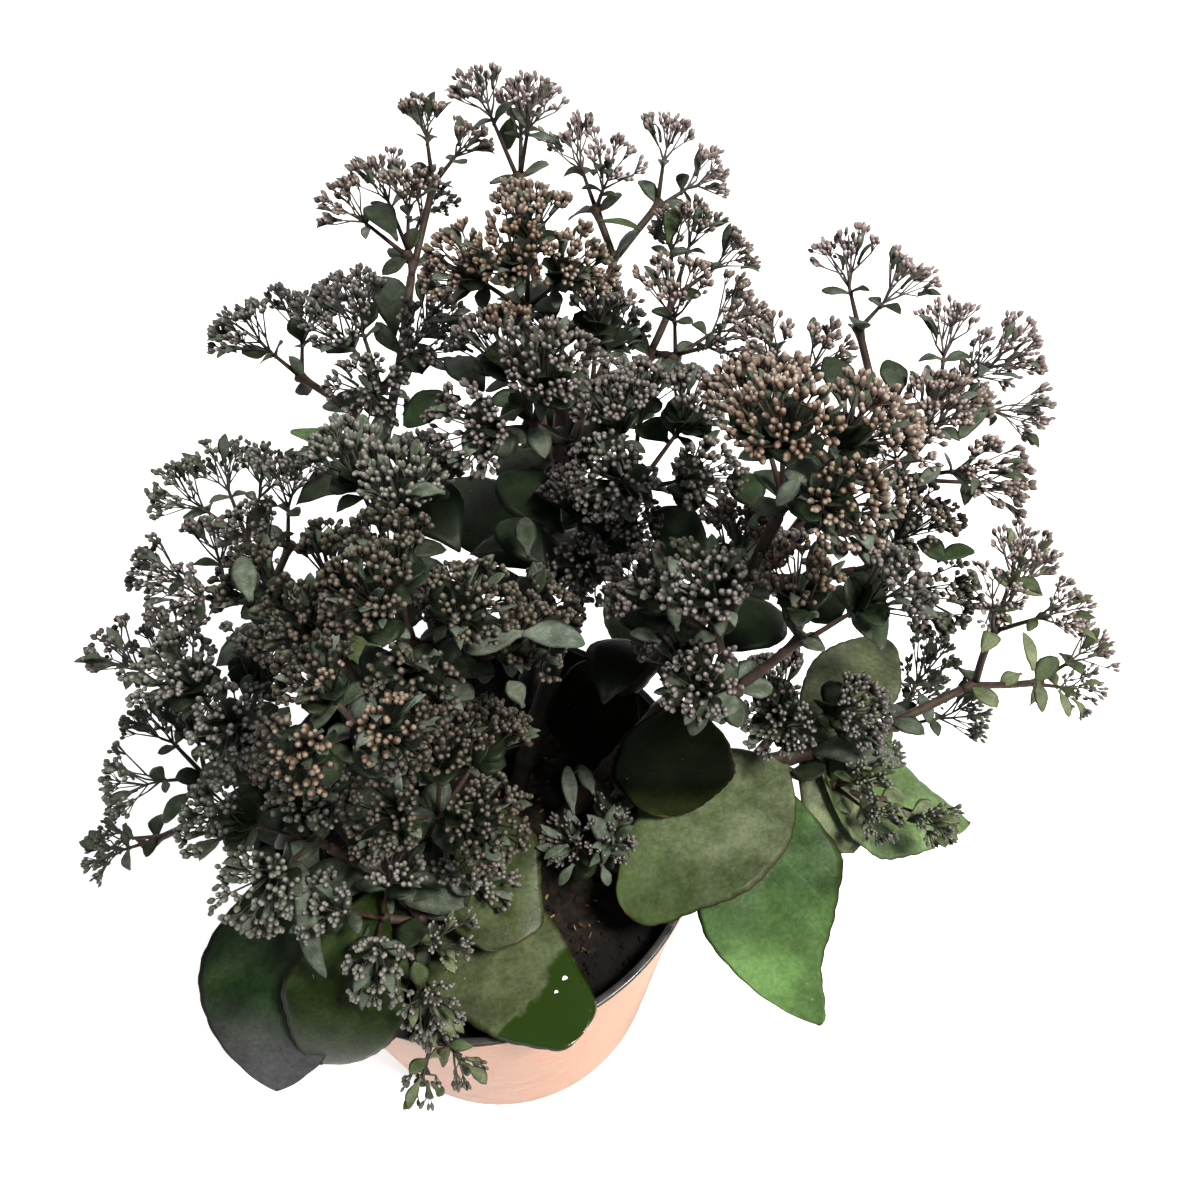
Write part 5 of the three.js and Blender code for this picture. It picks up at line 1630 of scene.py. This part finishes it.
def makeBladeFinish(name, look):
    skin = skins["blade"]
    material, tree = newFinish("blade_" + name, look.get("shine", skin["shine"]))
    shader = tree.nodes["Principled BSDF"]
    shader.inputs["Coat Roughness"].default_value = bladeEdge["coatRough"]
    along, across = readAttribute(tree, "along"), readAttribute(tree, "across")
    place = objectPlace(tree)
    mottled = addMottle(tree, skin, place, look["colour"], look["blotch"])
    waxed = addWax(tree, skin, place, look["cover"], mottled["Colour"], look["wax"])
    colour, side = addVeins(tree, skin, along, across, waxed["Colour"], look["blotch"])
    # Towards the tip the colour turns to the end colour: on front_left_outer this is its own purplish blush,
    # on the bright leaves it lifts the painted shade of their base
    if "end" in look:
        start = look.get("endFrom", bladeEdge["endFrom"])
        share = ramp(tree, along, start, 0.95, 0.0, bladeEdge["endShare"])
        colour = mixColour(tree, share, colour, look["end"])
    colour = addAge(tree, skin, place, mottled["Fine"], colour)
    colour = mixColour(tree, addSpeckles(tree, place), colour, bladeEdge["speckle"])
    edge = doMath(tree, "MAXIMUM", rimMask(tree, skin, across), ramp(tree, along, 0.985, 1.0))
    rough = wornRoughness(tree, skin, waxed["Dull"])
    if "wet" in look:
        ragged = doMath(tree, "ADD", along, product(tree, mottled["Mask"], bladeEdge["ragged"]))
        wet = ramp(tree, ragged, *bladeEdge["wetFrom"])
        colour = mixColour(tree, wet, colour, look["wet"])
        # Painted highlights: pale dots for the glints of water drops at the edge of the wet tip
        colour = mixColour(tree, addPaintedGlints(tree, place, ragged), colour, bladeEdge["drop"])
        rough = addNode(tree, "ShaderNodeMix", {0: wet, 2: rough, 3: bladeEdge["wetRough"]}).outputs[0]
        tree.links.new(product(tree, wet, bladeEdge["wetCoat"]), shader.inputs["Coat Weight"])
    colour = mixColour(tree, edge, colour, bladeEdge["colour"])
    relief = doMath(tree, "SUBTRACT", mottled["Fine"], product(tree, side, bladeEdge["veinRelief"]))
    linkFinish(tree, skin, colour, rough, relief)
    return material


soilLooks = {
    "soil": {"colour": (0.004, 0.003, 0.002, 1), "blotch": (0.020, 0.013, 0.008, 1)},
    "chip": {"colour": (0.075, 0.038, 0.017, 1), "blotch": (0.025, 0.013, 0.007, 1)},
    "fibre": {"colour": (0.24, 0.155, 0.060, 1), "blotch": (0.09, 0.055, 0.024, 1)},
}
wallShadeSoil = {"colour": (0.0015, 0.0012, 0.0008, 1), "from": 0.062, "to": 0.082}


def makeSoilFinish(name, look):
    # Painted shade: the compost is darker towards the wall of the pot, where the wall shades it
    skin = skins["compost"]
    material, tree = newFinish("compost_" + name, skin["shine"])
    place = objectPlace(tree)
    mottled = addMottle(tree, skin, place, look["colour"], look["blotch"])
    wall = ramp(tree, distanceFromAxis(tree, place), wallShadeSoil["from"], wallShadeSoil["to"])
    # Painted shade near the wall
    wallShade = mixColour(tree, wall, mottled["Colour"], wallShadeSoil["colour"])
    linkFinish(tree, skin, wallShade, wornRoughness(tree, skin, mottled["Fine"]), mottled["Fine"])
    return material


potLook = {"clay": (0.91, 0.385, 0.195, 1), "deep": (0.87, 0.345, 0.16, 1), "foot": (0.66, 0.27, 0.12, 1),
           "inside": (0.010, 0.010, 0.011, 1), "dust": (0.05, 0.045, 0.04, 1)}


def makePotOutside():
    skin = skins["potOutside"]
    material, tree = newFinish("pot_outside", skin["shine"])
    place = objectPlace(tree)
    mottled = addMottle(tree, skin, place, potLook["clay"], potLook["deep"])
    height = addNode(tree, "ShaderNodeSeparateXYZ", {0: place}).outputs[2]
    colour = mixColour(tree, ramp(tree, height, 0.0, 0.022, 0.75, 0.0), mottled["Colour"], potLook["foot"])
    linkFinish(tree, skin, colour, wornRoughness(tree, skin, mottled["Fine"]), mottled["Fine"])
    return material


def makePotInside():
    skin = skins["potInside"]
    material, tree = newFinish("pot_inside", skin["shine"])
    mottled = addMottle(tree, skin, objectPlace(tree), potLook["inside"], potLook["dust"])
    linkFinish(tree, skin, mottled["Colour"], wornRoughness(tree, skin, mottled["Mask"]), mottled["Fine"])
    return material


def makeFloor():
    # A pale table that glows a little, so that shadows on it stay soft and the plant isn't lit from below
    mesh = bpy.data.meshes.new("floor")
    half = shot["floorSize"] / 2
    corners = [(-half, -half, 0), (half, -half, 0), (half, half, 0), (-half, half, 0)]
    mesh.from_pydata(corners, [], [(0, 1, 2, 3)])
    floor = addObject("floor", mesh)
    floor.visible_diffuse = False
    material, tree = newFinish("floor", 0.5)
    sockets = {"Roughness": 0.9, "Base Color": shot["floorColour"], "Emission Color": shot["floorColour"],
               "Emission Strength": shot["floorGlow"]}
    for label, value in sockets.items():
        tree.nodes["Principled BSDF"].inputs[label].default_value = value
    mesh.materials.append(material)


setCamera()
setSky()
for lightName, light in lights.items():
    addSoftbox(lightName + "Light", light)
makeFloor()
print("camera, light and floor ready")

effects = {"mottle": makeMottleGroup(), "wax": makeWaxGroup(), "veins": makeVeinGroup(),
           "depth": makeInnerShadeGroup(), "aged": makeAgedGroup()}
bark = makeBarkFinish()
spoonFinishes = {name: makeSpoonFinish(name, look) for name, look in spoonLooks.items()}
budFinishes = {name: makeBudFinish(name, look) for name, look in budLooks.items()}
bladeFinishes = {name: makeBladeFinish(name, look) for name, look in bladeLooks.items()}
print("finishes ready")

makePot([makePotOutside(), makePotInside()])
makeCompost([makeSoilFinish(name, look) for name, look in soilLooks.items()])
print("pot and compost built")

for stemName in stems:
    makeStem(stemName)
print("stems built")

for sprayName in sprays:
    makeBloom(sprayName)
print("bud heads built")

for leafName in leaves:
    makeBlade(leafName)
print("large leaves built")
